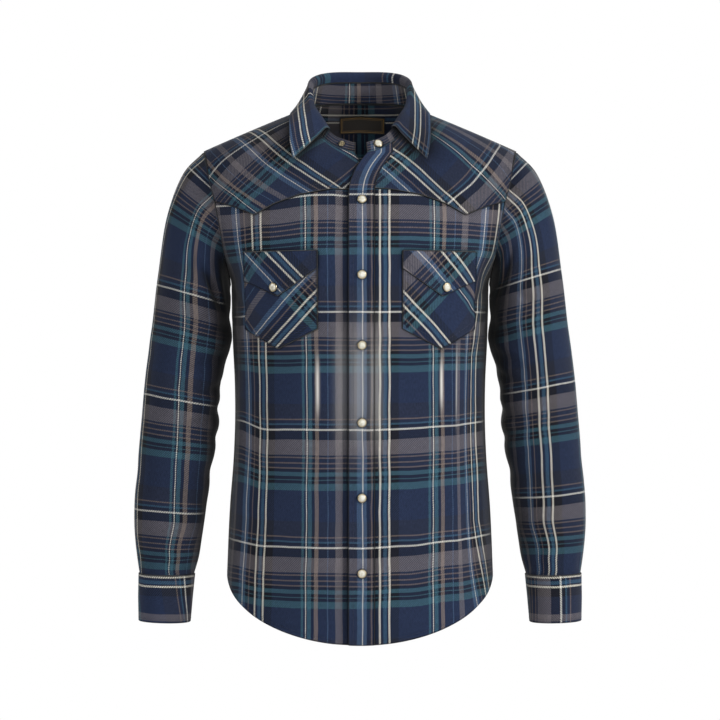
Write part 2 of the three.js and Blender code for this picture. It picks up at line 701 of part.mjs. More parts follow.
// Armhole edge: the panels' own edge places, from the shoulder down the front and up the
// back, each with its turn by length: 0 shoulder, 90 front, 180 underarm, 270 back
const ARMHOLE = (() => {
  const edgeRun = (side, places) => places.map((row) => row[row.length - 1])
    .filter(({ v }) => v > LOWER_SHARE - NUDGE)
    .map(({ v }) => panelPoint(side, 1, v, 0));
  const frontRun = edgeRun('front', FRONT_PLACES.left).reverse();
  const backRun = edgeRun('back', BACK_PLACES);
  const lengthTurns = (run, first) => {
    const lengths = run.map(() => 0);
    for (let i = 1; i < run.length; i += 1) {
      lengths[i] = lengths[i - 1] + run[i].at.distanceTo(run[i - 1].at);
    }
    return run.map((p, i) => ({ ...p, turn: first + (180 * lengths[i]) / lengths[run.length - 1] }));
  };
  return [...lengthTurns(frontRun, 0).slice(0, -1), ...lengthTurns(backRun, 180)];
})();

// Point of the armhole at a turn
function armholeAt(turn) {
  const wanted = ((turn % 360) + 360) % 360;
  let k = 0;
  while (k < ARMHOLE.length - 2 && ARMHOLE[k + 1].turn < wanted) k += 1;
  const t = clamp01((wanted - ARMHOLE[k].turn) / (ARMHOLE[k + 1].turn - ARMHOLE[k].turn));
  return {
    at: ARMHOLE[k].at.clone().lerp(ARMHOLE[k + 1].at, t),
    normal: ARMHOLE[k].normal.clone().lerp(ARMHOLE[k + 1].normal, t).normalize(),
  };
}

// Point of a sleeve or cuff section at a turn
function sectionPoint(row, turn) {
  const c = Math.cos(turn * TO_RAD);
  const s = Math.sin(turn * TO_RAD);
  return vec(
    mix(row.inX, row.outX, (1 + c) / 2),
    row.midY - row.depth * Math.sign(s) * Math.abs(s) ** SLEEVE_SQUARENESS,
    mix(row.inZ, row.outZ, (1 + c) / 2),
  );
}

// Places of the sleeve's control rows: distance down the outer and inner sides, averaged
const SLEEVE_PLACES = (() => {
  const places = [0, 1, 2, 3].map((step) => step * CAP_STEP);
  for (let i = 1; i < SLEEVE.length; i += 1) {
    places.push(places[places.length - 1] + Math.abs(SLEEVE[i].inZ - SLEEVE[i - 1].inZ) / 2
      + Math.abs(SLEEVE[i].outZ - SLEEVE[i - 1].outZ) / 2);
  }
  return places;
})();

// Smooth sleeve point: turn round, share t along the control rows
function sleeveSmooth(turn, t) {
  const start = armholeAt(turn).at;
  start.x += SLEEVE_START;
  const first = sectionPoint(SLEEVE[0], turn);
  const cap = CAP_SHARES.map((s) => {
    const quarter = s * 90 * TO_RAD;
    return vec(
      mix(start.x, first.x, mix(s, Math.sin(quarter), CAP_ARCH)),
      mix(start.y, first.y, s),
      mix(start.z, first.z, mix(s, 1 - Math.cos(quarter), CAP_ARCH)),
    );
  });
  const points = [start, ...cap, ...SLEEVE.map((row) => sectionPoint(row, turn))];
  return through(SLEEVE_PLACES, points, t * SLEEVE_PLACES[SLEEVE_PLACES.length - 1]);
}

function sleevePoint(turn, t, out) {
  const at = sleeveSmooth(turn, t);
  const t1 = Math.min(1, t + NUDGE);
  const t0 = Math.max(0, t1 - 2 * NUDGE);
  const round = sleeveSmooth(turn + 0.5, t).sub(sleeveSmooth(turn - 0.5, t));
  const along = sleeveSmooth(turn, t1).sub(sleeveSmooth(turn, t0));
  const normal = round.cross(along).normalize();
  // At the armhole it faces as the panels do, apart from near the underarm
  const asPanel = smoothStep((Math.abs(turn - 180) - UNDERARM_TURNS.from) / UNDERARM_TURNS.span);
  if (t === 0) normal.lerp(armholeAt(turn).normal, asPanel).normalize();
  const fade = clamp01((t - FADE.cap) / FADE.cap) * clamp01((1 - t) / FADE.cuff);
  const sunk = fade * troughs(SLEEVE_FOLDS, turn, at.z, true);
  return at.addScaledVector(normal, out - sunk);
}

// Columns round a sleeve: they start at the armhole's own points and drift to these turns.
// The sleeve placket lies between the three listed in STRIP.
const FRONT_TURNS = 11;
const ROUND = [
  ...evenly(FRONT_TURNS).map((t) => 180 * t),
  197, 214, 231, 247, 262, 277, 290, 303, 318, 332, 346,
];
const DRIFT = 0.35; // share of the sleeve over which the columns drift
const STRIP = { columns: [17, 18, 19], topRow: 12, point: 0.03 };
const CAP_ROWS = [0, 0.035, 0.075, 0.12];
const SLEEVE_ROWS = [...CAP_ROWS, ...evenly(13).slice(1).map((t) => mix(CAP_ROWS[3], 1, t))];

// Points of a sleeve between rows and columns, moved out by a distance
function sleevePoints(rows, columns, out) {
  const all = SLEEVE_ROWS.map((t, i) => ROUND.map((turn, j) => {
    const raised = i === STRIP.topRow && j === STRIP.columns[1] ? STRIP.point : 0;
    return sleevePoint(mix(ARMHOLE[j].turn, turn, smoothStep(t / DRIFT)), t - raised, out);
  }));
  return all.slice(rows[0], rows[1] + 1).map((row) => row.slice(columns[0], columns[1] + 1));
}

function addSleevePieces(whose) {
  const last = SLEEVE_ROWS.length - 1;
  const all = [[0, last], [0, ROUND.length - 1]];
  const isRight = whose === 'right';
  addCloth(`sleeve_${whose}`, sleevePoints(...all, 0), sleevePoints(...all, -WALL), CLOTH, isRight, true);
  const strip = [[STRIP.topRow, last], [STRIP.columns[0], STRIP.columns[2]]];
  const faces = [LAYER, SEAM].map((d) => {
    const points = sleevePoints(...strip, d);
    const [beside, end] = points.slice(-2);
    end.forEach((p, j) => p.lerp(beside[j], END_SHORT / p.distanceTo(beside[j])));
    return points;
  });
  addCloth(`sleeve_placket_${whose}`, faces[0], faces[1], CLOTH, isRight);
}

// The cuff is one band whose end laps over its start on the outer back of the wrist
const CUFF_LAP_TURNS = [272, 285, 298, 312];
const CUFF_TURNS = [
  ...CUFF_LAP_TURNS,
  ...Array.from({ length: 18 }, (_, i) => 329 + i * 17),
  ...CUFF_LAP_TURNS.map((turn) => turn + 360),
];
const CUFF_UNTUCK = 26; // degrees over which the tucked end comes out to the band
const CUFF_TUCK = LAYER + 0.3; // how far in the tucked end lies
const CUFF_SNAP_TURN = 292;
const CUFF_SNAP_SHARES = [0.3, 0.72]; // from the cuff's top to its bottom

function cuffPoint(turn, share, out) {
  const along = share * (CUFF.length - 1);
  const k = Math.min(CUFF.length - 2, Math.floor(along));
  const at = sectionPoint(CUFF[k], turn).lerp(sectionPoint(CUFF[k + 1], turn), along - k);
  const middle = sectionPoint(CUFF[k], turn + 180).lerp(sectionPoint(CUFF[k + 1], turn + 180), along - k);
  const normal = at.clone().sub(middle).setZ(0).normalize();
  const tucked = 1 - smoothStep((turn - CUFF_LAP_TURNS[3]) / CUFF_UNTUCK);
  return { at: at.addScaledVector(normal, out - tucked * CUFF_TUCK), normal };
}

function addCuff(whose) {
  const pointAt = (out) => (share, turn) => cuffPoint(turn, share, out).at;
  const faces = [0, -WALL].map((out) => grid(evenly(2), CUFF_TURNS, pointAt(out)));
  addCloth(`cuff_${whose}`, faces[0], faces[1], CLOTH, whose === 'right');
}

// Neck edge of the panels as a run of points: turn is under 0 on the wearer's right
const NECK_RUN = (() => {
  const frontRun = (whose) => FRONT_PLACES[whose][FRONT_PLACES[whose].length - 1]
    .slice(0, columnIndex('neck') + 1)
    .map(({ u }) => (90 * u) / NECK_SHARE);
  const backRun = (columns) => columns.filter((u) => u < NECK_SHARE)
    .map((u) => 180 - (90 * u) / NECK_SHARE);
  const left = [...frontRun('left'), ...backRun(BACK_COLUMNS.left).reverse()];
  const right = [...frontRun('right'), ...backRun(BACK_COLUMNS.right).reverse()];
  return [...left, 180, ...right.map((turn) => 360 - turn).reverse()];
})();
// Columns of the collar: those of the neck edge and one between each two
const COLLAR_TURNS = NECK_RUN.flatMap((turn, i) => (
  i === NECK_RUN.length - 1 ? [turn] : [turn, (turn + NECK_RUN[i + 1]) / 2]
)).filter((turn, i, all) => i === 0 || turn - all[i - 1] > 1);

// Point of the neck ring at a turn from 0 to 360
function ringPoint(turn) {
  const isRight = turn > 180;
  const at = neckPoint(isRight ? 360 - turn : turn);
  if (isRight) at.x *= -1;
  return at;
}

// The same, but on the straight edges between the panels' own points
function neckEdgePoint(turn) {
  let k = 0;
  while (k < NECK_RUN.length - 2 && turn > NECK_RUN[k + 1]) k += 1;
  const t = (turn - NECK_RUN[k]) / (NECK_RUN[k + 1] - NECK_RUN[k]);
  return ringPoint(NECK_RUN[k]).lerp(ringPoint(NECK_RUN[k + 1]), t);
}

const fold180 = (turn) => (turn > 180 ? 360 - turn : turn);

// Collar stand: its bottom edge is just inside the neck edge, its top follows the lean
function standPoint(turn, share) {
  const ring = ringPoint(turn);
  const outward = vec(ring.x, ring.y - NECK_MID_Y, 0).normalize();
  const height = read(STAND, 'turn', 'height', fold180(turn));
  const lean = read(STAND, 'turn', 'lean', fold180(turn)) * TO_RAD;
  const rising = outward.clone().multiplyScalar(-Math.sin(lean)).add(vec(0, 0, Math.cos(lean)));
  const at = (share === 0 ? neckEdgePoint(turn) : ring).clone();
  at.addScaledVector(outward, -STAND_INSET).addScaledVector(rising, share * height);
  at.z += STAND_LIFT;
  const round = ringPoint(turn + 1).sub(ringPoint(turn - 1));
  return { at, outward, rising, normal: round.cross(rising).normalize() };
}

function addCollarStand() {
  const pointAt = (out) => (share, turn) => {
    const { at, normal } = standPoint(turn, share);
    return at.addScaledVector(normal, out);
  };
  const faces = [0, -WALL].map((out) => grid(evenly(2), COLLAR_TURNS, pointAt(out)));
  addCloth('collar_stand', faces[0], faces[1], CLOTH);
}

// Collar leaf: it starts above the stand, rolls over and falls to its outer edge.
// Its front ends are not level with each other.
const LEAF_TURNS = COLLAR_TURNS.filter((turn) => turn > LEAF_START.left && 360 - turn > LEAF_START.right);
const LEAF_ENDS = { left: LEAF_TURNS[0], right: 360 - LEAF_TURNS[LEAF_TURNS.length - 1] };
const LEAF_ROWS = [0, 0.1, 0.2, 0.32, 0.55, 0.78, 1];
const LEAF_PLACES = [0, 0.1, 0.2, 0.32, 0.62, 1]; // shares of start, near, fold, over, middle, edge
const NEAR = { rise: 0.6, out: 0.3 };
const OVER = { down: 0.17, bulge: 0.7 };
const MIDDLE_DOWN = 0.55;

function leafPoint(turn, share) {
  const end = turn > 180 ? LEAF_ENDS.right : LEAF_ENDS.left;
  const along = clamp01((fold180(turn) - end) / (180 - end));
  const side = turn > 180 ? -1 : 1;
  const { at, outward, rising } = standPoint(turn, 1);
  const rise = read(LEAF, 'along', 'rise', along);
  const edge = vec(
    side * read(LEAF, 'along', 'x', along),
    read(LEAF, 'along', 'y', along),
    read(LEAF, 'along', 'z', along),
  );
  const start = at.addScaledVector(rising, LEAF_GAP);
  const near = start.clone().addScaledVector(rising, rise * NEAR.rise).addScaledVector(outward, NEAR.out);
  const fold = start.clone().addScaledVector(outward, read(LEAF, 'along', 'roll', along));
  fold.z += rise;
  const over = fold.clone().lerp(edge, OVER.down).addScaledVector(outward, LEAF_BULGE * OVER.bulge);
  const middle = fold.clone().lerp(edge, MIDDLE_DOWN).addScaledVector(outward, LEAF_BULGE);
  return through(LEAF_PLACES, [start, near, fold, over, middle, edge], share);
}

function leafNormal(turn, share) {
  const after = Math.min(1, share + 0.01);
  const down = leafPoint(turn, after).sub(leafPoint(turn, after - 0.02));
  const round = leafPoint(turn + 0.5, share).sub(leafPoint(turn - 0.5, share));
  return down.cross(round).normalize();
}

function addCollarLeaf() {
  const pointAt = (out) => (share, turn) => {
    const normal = share === 0 ? standPoint(turn, 1).normal.negate() : leafNormal(turn, share);
    return leafPoint(turn, share).addScaledVector(normal, out);
  };
  const faces = [WALL, 0].map((out) => grid(LEAF_ROWS, LEAF_TURNS, pointAt(out)));
  addCloth('collar_leaf', faces[0], faces[1], CLOTH);
}

// A snap cap or stud by shares of its ring's radius and height, on +Z of its own frame
const SNAP_SIDES = 12;
const RIM_STEP = 0.6;
const DOME = { radius: 0.7, height: 0.88 };

function snapGeometry(size) {
  const profile = [
    [0, 0],
    [size.radius, 0],
    [size.radius, size.rim * RIM_STEP],
    [size.ring, size.rim],
    [size.ring * DOME.radius, size.height * DOME.height],
    [0, size.height],
  ].map(([x, y]) => new THREE.Vector2(x, y));
  return new THREE.LatheGeometry(profile, SNAP_SIDES).rotateX(Math.PI / 2);
}

function addSnap(name, at, normal, size, look, isMirrored) {
  const mesh = addMesh(name, snapGeometry(size), look);
  const place = at.clone().addScaledVector(normal, SNAP_SEAT);
  const facing = normal.clone();
  if (isMirrored) {
    place.x *= -1;
    facing.x *= -1;
  }
  mesh.position.copy(place);
  mesh.quaternion.setFromUnitVectors(vec(0, 0, 1), facing);
}

function addFrontSnaps() {
  FRONT_SNAP_Z.forEach((z, i) => {
    const { u, v } = locate(FRONT_SNAP_X, z);
    const { at, normal } = panelPoint('front', u, v, LAYER);
    addSnap(`snap_front_${i + 1}`, at, normal, SNAP, PEARL, false);
  });
}

function addFlapSnap(whose) {
  const { u, v } = locate(FLAP_SNAP.x, FLAP_SNAP.z);
  const { at, normal } = panelPoint('front', u, v, 2 * LAYER);
  addSnap(`snap_flap_${whose}`, at, normal, SNAP, PEARL, whose === 'right');
}

// Snap cap on the stand's left end and its stud on the right end
function addCollarSnaps() {
  const addOnStand = (name, turn, size, look) => {
    const { at, normal } = standPoint(turn, 0.5);
    addSnap(name, at, normal, size, look, false);
  };
  addOnStand('snap_collar_cap', STAND_SNAP_TURN, SNAP, PEARL);
  addOnStand('snap_collar_stud', 360 - STAND_SNAP_TURN, STUD, METAL);
}

// Two snaps on a cuff and one on its sleeve placket
function addCuffSnaps(whose) {
  CUFF_SNAP_SHARES.forEach((share, i) => {
    const turn = CUFF_SNAP_TURN + 360;
    const { at } = cuffPoint(turn, share, 0);
    const round = cuffPoint(turn + 1, share, 0).at.sub(cuffPoint(turn - 1, share, 0).at);
    const down = cuffPoint(turn, 1, 0).at.sub(cuffPoint(turn, 0, 0).at);
    const normal = round.cross(down).normalize();
    addSnap(`snap_cuff_${whose}_${i + 1}`, at, normal, SNAP, PEARL, whose === 'right');
  });
  const t = SLEEVE_ROWS[STRIP.topRow + 2];
  const turn = ROUND[STRIP.columns[1]];
  const at = sleevePoint(turn, t, LAYER);
  const normal = sleevePoint(turn, t, LAYER + 1).sub(at).normalize();
  addSnap(`snap_sleeve_${whose}`, at, normal, SNAP, PEARL, whose === 'right');
}

['left', 'right'].forEach((whose) => {
  addFrontPieces(whose);
  addFlapSnap(whose);
  addSleevePieces(whose);
  addCuff(whose);
  addCuffSnaps(whose);
});
addBackPieces();
addCollarStand();
addCollarLeaf();
addOnFront('placket', 'left', ['hem', 'top'], ['edge', 'placketEdge'], SEAM, CLOTH);
addFrontSnaps();
addCollarSnaps();

export default shirt;
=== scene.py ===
import math

import bpy
import numpy as np
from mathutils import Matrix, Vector


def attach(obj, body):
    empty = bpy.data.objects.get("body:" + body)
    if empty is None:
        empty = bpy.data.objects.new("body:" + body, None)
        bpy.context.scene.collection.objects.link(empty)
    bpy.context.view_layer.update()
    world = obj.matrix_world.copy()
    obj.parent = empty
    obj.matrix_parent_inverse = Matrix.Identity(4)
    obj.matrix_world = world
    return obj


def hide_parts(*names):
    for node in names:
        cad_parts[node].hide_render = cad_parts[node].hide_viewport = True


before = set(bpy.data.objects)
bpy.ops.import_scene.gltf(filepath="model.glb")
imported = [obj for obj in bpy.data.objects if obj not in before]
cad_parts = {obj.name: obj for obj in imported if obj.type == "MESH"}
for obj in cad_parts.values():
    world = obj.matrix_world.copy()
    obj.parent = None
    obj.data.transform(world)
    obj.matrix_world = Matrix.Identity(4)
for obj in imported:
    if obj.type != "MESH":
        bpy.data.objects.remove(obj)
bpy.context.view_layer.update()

MM = 0.001

# Cloth and seams, in millimetres as all sizes below
WALL = 1.2
SEAM = 0.35
LAYER = WALL + SEAM
YOKE_GAP = 0.5
NUDGE = 1e-3

# Neck ring and shoulder seam
NECK_HALF, NECK_MID_Y, NECK_FRONT, NECK_BACK = 74, 4, 89, 62
NECK_SIDE_Z, NECK_FRONT_DROP, NECK_BACK_RISE = 4, 69, 14
NECK_FRONT_POWER, NECK_BACK_POWER = 1.2, 0.8
SHOULDER = np.array([218.0, 2.0, -57.0])
SHOULDER_ARCH = 4.2

# Hem and body sections: z, half, front, back
SIDE_NOTCH_Z, HEM_POWER, UNDERARM_Z, SQUARENESS = -640, 1.12, -240, 0.85
HEM_DROP = {"front": 87, "back": 95}
ABOUT_HALF = 190
BODY = np.array([
    (-760, 187, 120, 119),
    (-640, 184.5, 119, 117),
    (-546, 180.5, 117, 108),
    (-480, 175.5, 116.5, 103),
    (-425, 173.5, 117, 101),
    (-373, 174, 120, 105),
    (-320, 176.5, 125, 113),
    (-240, 178.5, 130, 122),
], float)
# Rows above the underarm: place, centre y, centre z, edge x, edge y, edge z, wrap
YOKE_ROWS = {
    "front": [
        (-240, -130, -240, 178.5, 0, -240, 1),
        (-205, -129, -205, 185, -46, -205, 0.85),
        (-167, -122, -168, 191, -58, -165, 0.76),
        (-133, -111, -134, 198, -53, -129, 0.72),
        (-103, -98, -101, 206, -36, -98, 0.76),
    ],
    "back": [
        (-240, 122, -240, 178.5, 0, -240, 1),
        (-205, 121, -203, 186, 44, -210, 0.86),
        (-167, 117, -160, 194, 63, -174, 0.76),
        (-133, 109, -115, 200, 61, -136, 0.7),
        (-103, 95, -65, 207, 40, -97, 0.72),
    ],
}
ARCH_PLACES, TOP_PLACE, BELOW_UNDERARM = [-84, -64], -42, -300
LOWER_SHARE, NECK_SHARE, NECK_CENTRE_BEND = 0.66, 0.34, 0.3
BEND_SPAN = {"front": 0.75, "back": 0.3}

# Front edges: from, span, shift, power
LAP = 15
EDGES = {"left": (-122, 57, 25, 2), "right": (-118, 53, 22, 1.5)}
PLACKET_WIDTH = 34
# depth, from x, span x, from z, span z
UNDERLAP = (3.6, 40, 22, -78, 12)

# Sleeve and cuff sections: outer x and z, inner x and z, depth, middle y
SLEEVE = np.array([
    (280, -223, 182, -268, 66, 2),
    (289, -297, 180, -304, 62, 2),
    (292.3, -320, 179.4, -326, 61, 1.5),
    (294.5, -338, 186.5, -346, 60, 1),
    (298.5, -372, 192, -381, 58, 0),
    (303, -425, 195.5, -434, 55, -2),
    (308.5, -490, 205.5, -498, 52, -5),
    (312.5, -545, 213.5, -553, 49, -8),
    (312, -584, 219, -591, 47, -10),
    (309, -615, 223.5, -619, 44, -11),
    (305, -639.1, 229.8, -640.6, 39, -12),
], float)
CUFF = np.array([
    (306.5, -639.5, 228.3, -641, 41, -12),
    (307, -672, 231.5, -673.5, 38.5, -13),
    (306.3, -704, 234.3, -706, 36, -14),
], float)
SLEEVE_SQUARENESS, SLEEVE_START, CAP_ARCH, CAP_STEP = 0.92, 0.7, 0.75, 32
# Two sections between a panel's last row and its top, and between the armhole and a sleeve
THIRDS = (1 / 3, 2 / 3)

# Folds of a sleeve by turn: angle, z, wide, high, tilt, depth. These eleven are in the solid too.
SLEEVE_FOLDS = [
    (150, -300, 50, 13, 0.5, 3.0), (135, -345, 60, 12, 0.45, 2.6),
    (165, -418, 65, 11, 0.25, 4.2), (160, -447, 55, 10, -0.2, 3.4),
    (175, -500, 50, 14, 0.2, 2.6), (215, -395, 55, 13, -0.3, 3.0), (60, -612, 28, 30, 0, 2.4),
    (130, -615, 24, 30, 0, 2.4), (235, -612, 26, 32, 0, 2.6), (330, -612, 26, 28, 0, 2.2),
    (300, -300, 40, 40, 0.3, 2.2),
]
FINE_SLEEVE_FOLDS = {
    "left": [
        (120, -215, 17, 9, -1.5, 6.0), (136, -196, 14, 16, -1.8, -3.2), (96, -262, 30, 7, 0.6, 1.8),
        (168, -262, 14, 26, 0, -3.6), (168, -308, 14, 26, 0, -3.2), (140, -298, 16, 26, 0, -3.0),
        (92, -345, 30, 9, 0.5, 1.5), (140, -372, 44, 7, 0.4, 2.4),
        (95, -405, 40, 6, 0.35, 1.3), (125, -432, 38, 5, 0.05, -1.5), (110, -466, 34, 8, -0.3, 1.5),
        (70, -440, 30, 9, 0.3, 0.9), (95, -540, 30, 12, 0.2, 1.0), (150, -560, 28, 12, -0.2, 1.3),
        (80, -618, 9, 24, 0, 1.5), (100, -622, 7, 20, 0, -1.1), (152, -618, 9, 22, 0, 1.4),
        (30, -620, 10, 20, 0, 1.2), (200, -618, 10, 24, 0, 1.4), (262, -618, 9, 24, 0, 1.6),
        (300, -616, 10, 26, 0, 1.3), (240, -440, 45, 9, -0.2, 1.8), (250, -480, 40, 8, 0.2, 1.4),
        (285, -350, 45, 9, -0.5, 1.6), (60, -330, 40, 14, -0.3, 0.9), (20, -480, 40, 18, 0, 0.9),
    ],
    "right": [
        (126, -245, 19, 10, -1.4, 6.2), (138, -232, 14, 18, -2.6, -3.4), (87, -212, 6, 24, 0, 4.4),
        (168, -262, 14, 26, 0, -3.6), (168, -308, 14, 26, 0, -3.2), (142, -300, 16, 26, 0, -3.0),
        (96, -300, 30, 8, 0.6, 1.8), (142, -388, 46, 7, 0.3, 2.6),
        (90, -398, 34, 6, 0.5, 1.2), (128, -424, 42, 5, 0.15, -1.4), (115, -452, 38, 7, -0.2, 1.6),
        (72, -470, 30, 9, 0.2, 0.9), (90, -560, 30, 12, 0.1, 1.0), (148, -535, 30, 12, -0.25, 1.4),
        (86, -620, 8, 22, 0, 1.4), (106, -618, 8, 22, 0, -1.1), (156, -620, 8, 20, 0, 1.5),
        (28, -616, 10, 24, 0, 1.3), (205, -620, 10, 22, 0, 1.3), (258, -617, 9, 24, 0, 1.6),
        (305, -618, 10, 24, 0, 1.2), (236, -430, 45, 9, -0.3, 1.7), (248, -492, 40, 8, 0.25, 1.5),
        (282, -340, 45, 9, -0.45, 1.7), (55, -350, 40, 14, -0.35, 1.0), (15, -500, 40, 18, 0, 0.9),
    ],
}
# Folds of the body by turn from the centre line: angle, z, wide, high, tilt, depth
BODY_FOLDS = {
    "front": [
        (74, -300, 7, 90, 0, 3.2), (58, -430, 8, 110, 0, 2.2), (36, -620, 9, 70, 0, 1.8),
        (78, -560, 8, 80, 0, 2.4),
    ],
    "back": [
        (30, -430, 11, 130, 0, 3.4), (62, -360, 9, 120, 0, 3.2), (48, -590, 9, 90, 0, 2.4),
        (76, -480, 8, 90, 0, 2.6),
    ],
}
FINE_BODY_FOLDS = {
    "left": [
        (66, -262, 20, 9, 1.6, 1.6), (72, -300, 16, 8, 1.9, -1.0), (48, -505, 5, 70, 0, 1.2),
        (66, -500, 4, 60, 0, -1.2), (24, -660, 6, 50, 0, 1.0), (60, -640, 6, 45, 0, 1.3),
        (20, -390, 5, 90, 0, 0.9), (40, -350, 6, 60, 0, 0.9), (82, -420, 5, 70, 0, 1.6),
    ],
    "right": [
        (68, -268, 20, 9, 1.5, 1.6), (74, -305, 15, 8, 1.8, -1.0), (44, -470, 5, 75, 0, 1.3),
        (62, -530, 4, 60, 0, -1.1), (28, -650, 6, 55, 0, 1.1), (56, -625, 6, 50, 0, 1.2),
        (22, -400, 5, 85, 0, 0.9), (38, -330, 6, 55, 0, 0.8), (83, -440, 5, 65, 0, 1.6),
    ],
    "back": [
        (14, -520, 6, 110, 0, 1.6), (42, -300, 7, 80, 0, 1.5), (20, -250, 8, 60, 0, 1.3),
        (68, -620, 6, 60, 0, 1.5), (54, -470, 5, 80, 0, -1.3), (82, -330, 6, 60, 0, 1.6),
        (70, -262, 18, 9, 1.5, 1.5), (30, -660, 6, 50, 0, 1.2),
    ],
}
FADE = {"side": 0.06, "centre": 0.1, "top": 0.03, "cap": 0.12, "cuff": 0.04}
# Fine sleeve folds: where they begin, over what span, and the span at the cuff
FINE_FADE = (0.05, 0.1, 0.02)
BODY_TOP = 0.985
# Where a sleeve's start faces as the body does: turns from the armpit, their span, share of length
ARM_BLEND = (30, 50, 0.03)
# Steps of the searches for places on the panels
X_STEPS, Z_STEPS, BOTH_STEPS, EDGE_STEPS = 10, 20, 5, 4

# Lines of the laid-on pieces: x and z
LINES = {
    "pocket_foot": [(57, -303), (110, -330), (156, -303)],
    "flap_foot": [(57, -222), (110, -259), (156, -237)],
    "flap_top": [(57, -199), (156, -199)],
    "front_yoke_foot": [
        (0, -113), (40, -115), (80, -122), (115, -134), (142, -149), (170, -137), (205, -126),
    ],
    "back_yoke_foot": [(0, -165), (25, -150), (90, -117), (140, -113), (205, -122)],
    "label_foot": [(0, -21), (80, -25)],
    "label_top": [(0, 2), (70, -3)],
}
POCKET_X = (57, 156)
LABEL_X = (-28.6, 35.3)
LABEL_WALL = 0.6

# Collar: turn, height, lean; along, x, y, z, rise, roll
STAND = np.array([
    (0, 17, 33), (20, 18, 34), (36, 17.5, 43), (46, 18, 40), (56, 19.5, 24), (66, 20, 14),
    (78, 23, 14), (90, 25, 14), (108, 26.5, 13), (135, 29, 10), (180, 29, 8),
], float)
STAND_INSET, STAND_LIFT = 0.6, 0.65
LEAF = np.array([
    (0, 90.5, -101, -74, 1.5, 7.5),
    (0.05, 94, -92, -56, 2.2, 6.6),
    (0.12, 96, -74, -33, 3.2, 5.4),
    (0.2, 96, -53, -14, 5, 4.2),
    (0.35, 92, 2, 1, 10, 3.2),
    (0.57, 82, 50, 6, 13, 3),
    (0.79, 47, 77, 8, 14, 3),
    (1, 0, 84, 9, 14, 3),
], float)
LEAF_END = {"left": 44.2, "right": 42.0}
LEAF_GAP, LEAF_BULGE = 0.8, -1
# Share of the rise and outward step just above the stand, and two shares of the way to the edge
LEAF_NEAR, LEAF_OVER, LEAF_HALFWAY, OVER_BULGE = (0.6, 0.3), 0.17, 0.55, 0.7
LEAF_PLACES = [0, 0.1, 0.2, 0.32, 0.62, 1]

# Cuff: the tucked end starts at these turns and comes out to the band after them
CUFF_TURNS = (272, 672)
CUFF_TUCK_END, CUFF_UNTUCK, CUFF_TUCK = 312, 26, LAYER + 0.3
STRIP_TURNS, STRIP_FROM, STRIP_POINT = (247, 277), 0.797, 0.03


# ---------------------------------------------------------------- curves and forms
def mix(a, b, t):
    return a + (b - a) * t


def clamp01(t):
    return np.clip(t, 0, 1)


def smooth(t):
    t = clamp01(t)
    return t * t * (3 - 2 * t)


def unit(p):
    return p / np.maximum(np.linalg.norm(p, axis=-1, keepdims=True), 1e-12)


def radians(turn):
    return np.asarray(turn, float) * math.pi / 180


def grids(*values):
    """Arrays of one shape from numbers and arrays."""
    return np.broadcast_arrays(*[np.asarray(value, float) for value in values])


def walked(points, axis=0):
    """Distance along each line of points, from its first point."""
    steps = np.linalg.norm(np.diff(points, axis=axis), axis=-1)
    return np.insert(np.cumsum(steps, axis=axis), 0, 0.0, axis=axis)


def mirrored(sign):
    """Factors that turn points over to the side of this sign."""
    return np.asarray(sign, float)[..., None] * [1, 0, 0] + [0, 1, 1]


def between(at, places, points):
    """Points on the straight lines that join given points."""
    return np.stack([np.interp(at, places, column) for column in points.T], axis=-1)


def eased(start, end, shares):
    """Points between two sets, with each coordinate at its own share of the way."""
    return stack(*[mix(start[:, i], end[:, i], share) for i, share in enumerate(shares)])


def facing(form, a, b, a_step, b_step, floor=0.0):
    """Direction square to a form, from small steps each way; b stays between a floor and 1."""
    after = np.minimum(1, b + b_step)
    before = np.maximum(floor, after - 2 * b_step)
    return unit(np.cross(form(a + a_step, b) - form(a - a_step, b), form(a, after) - form(a, before)))


def through(places, values, at):
    """Smooth value at each of `at`, through values at uneven places."""
    places, values = np.asarray(places, float), np.asarray(values, float)
    gaps = np.diff(places).reshape((-1,) + (1,) * (values.ndim - 1))
    steps = np.diff(values, axis=0) / gaps
    slopes = np.empty_like(values)
    slopes[0], slopes[-1] = steps[0], steps[-1]
    slopes[1:-1] = (steps[:-1] * gaps[1:] + steps[1:] * gaps[:-1]) / (gaps[1:] + gaps[:-1])
    k = np.searchsorted(places[1:-1], at, side="left")
    gap = np.diff(places)[k]
    t = (at - places[k]) / gap
    weights = [
        2 * t**3 - 3 * t**2 + 1,
        (t**3 - 2 * t**2 + t) * gap,
        -2 * t**3 + 3 * t**2,
        (t**3 - t**2) * gap,
    ]
    if values.ndim == 1:
        picked = [values[k], slopes[k], values[k + 1], slopes[k + 1]]
    else:
        own = np.arange(values.shape[1])
        picked = [values[k, own], slopes[k, own], values[k + 1, own], slopes[k + 1, own]]
        weights = [w[:, None] for w in weights]
    return sum(w * p for w, p in zip(weights, picked))


def table(rows, column, at):
    at = np.asarray(at, float)
    return through(rows[:, 0], rows[:, column], at.ravel()).reshape(at.shape)


def stack(x, y, z):
    return np.stack(np.broadcast_arrays(x, y, z), axis=-1).astype(float)


def boxy(angle):
    return np.maximum(0, np.cos(angle)) ** SQUARENESS


def neck_point(turn):
    a = radians(turn)
    c = np.cos(a)
    reach = np.where(c > 0, NECK_FRONT, NECK_BACK)
    z = np.where(
        c > 0,
        NECK_SIDE_Z - NECK_FRONT_DROP * np.maximum(c, 0) ** NECK_FRONT_POWER,
        NECK_SIDE_Z + NECK_BACK_RISE * np.maximum(-c, 0) ** NECK_BACK_POWER,
    )
    return stack(NECK_HALF * np.sin(a), NECK_MID_Y - reach * c, z)


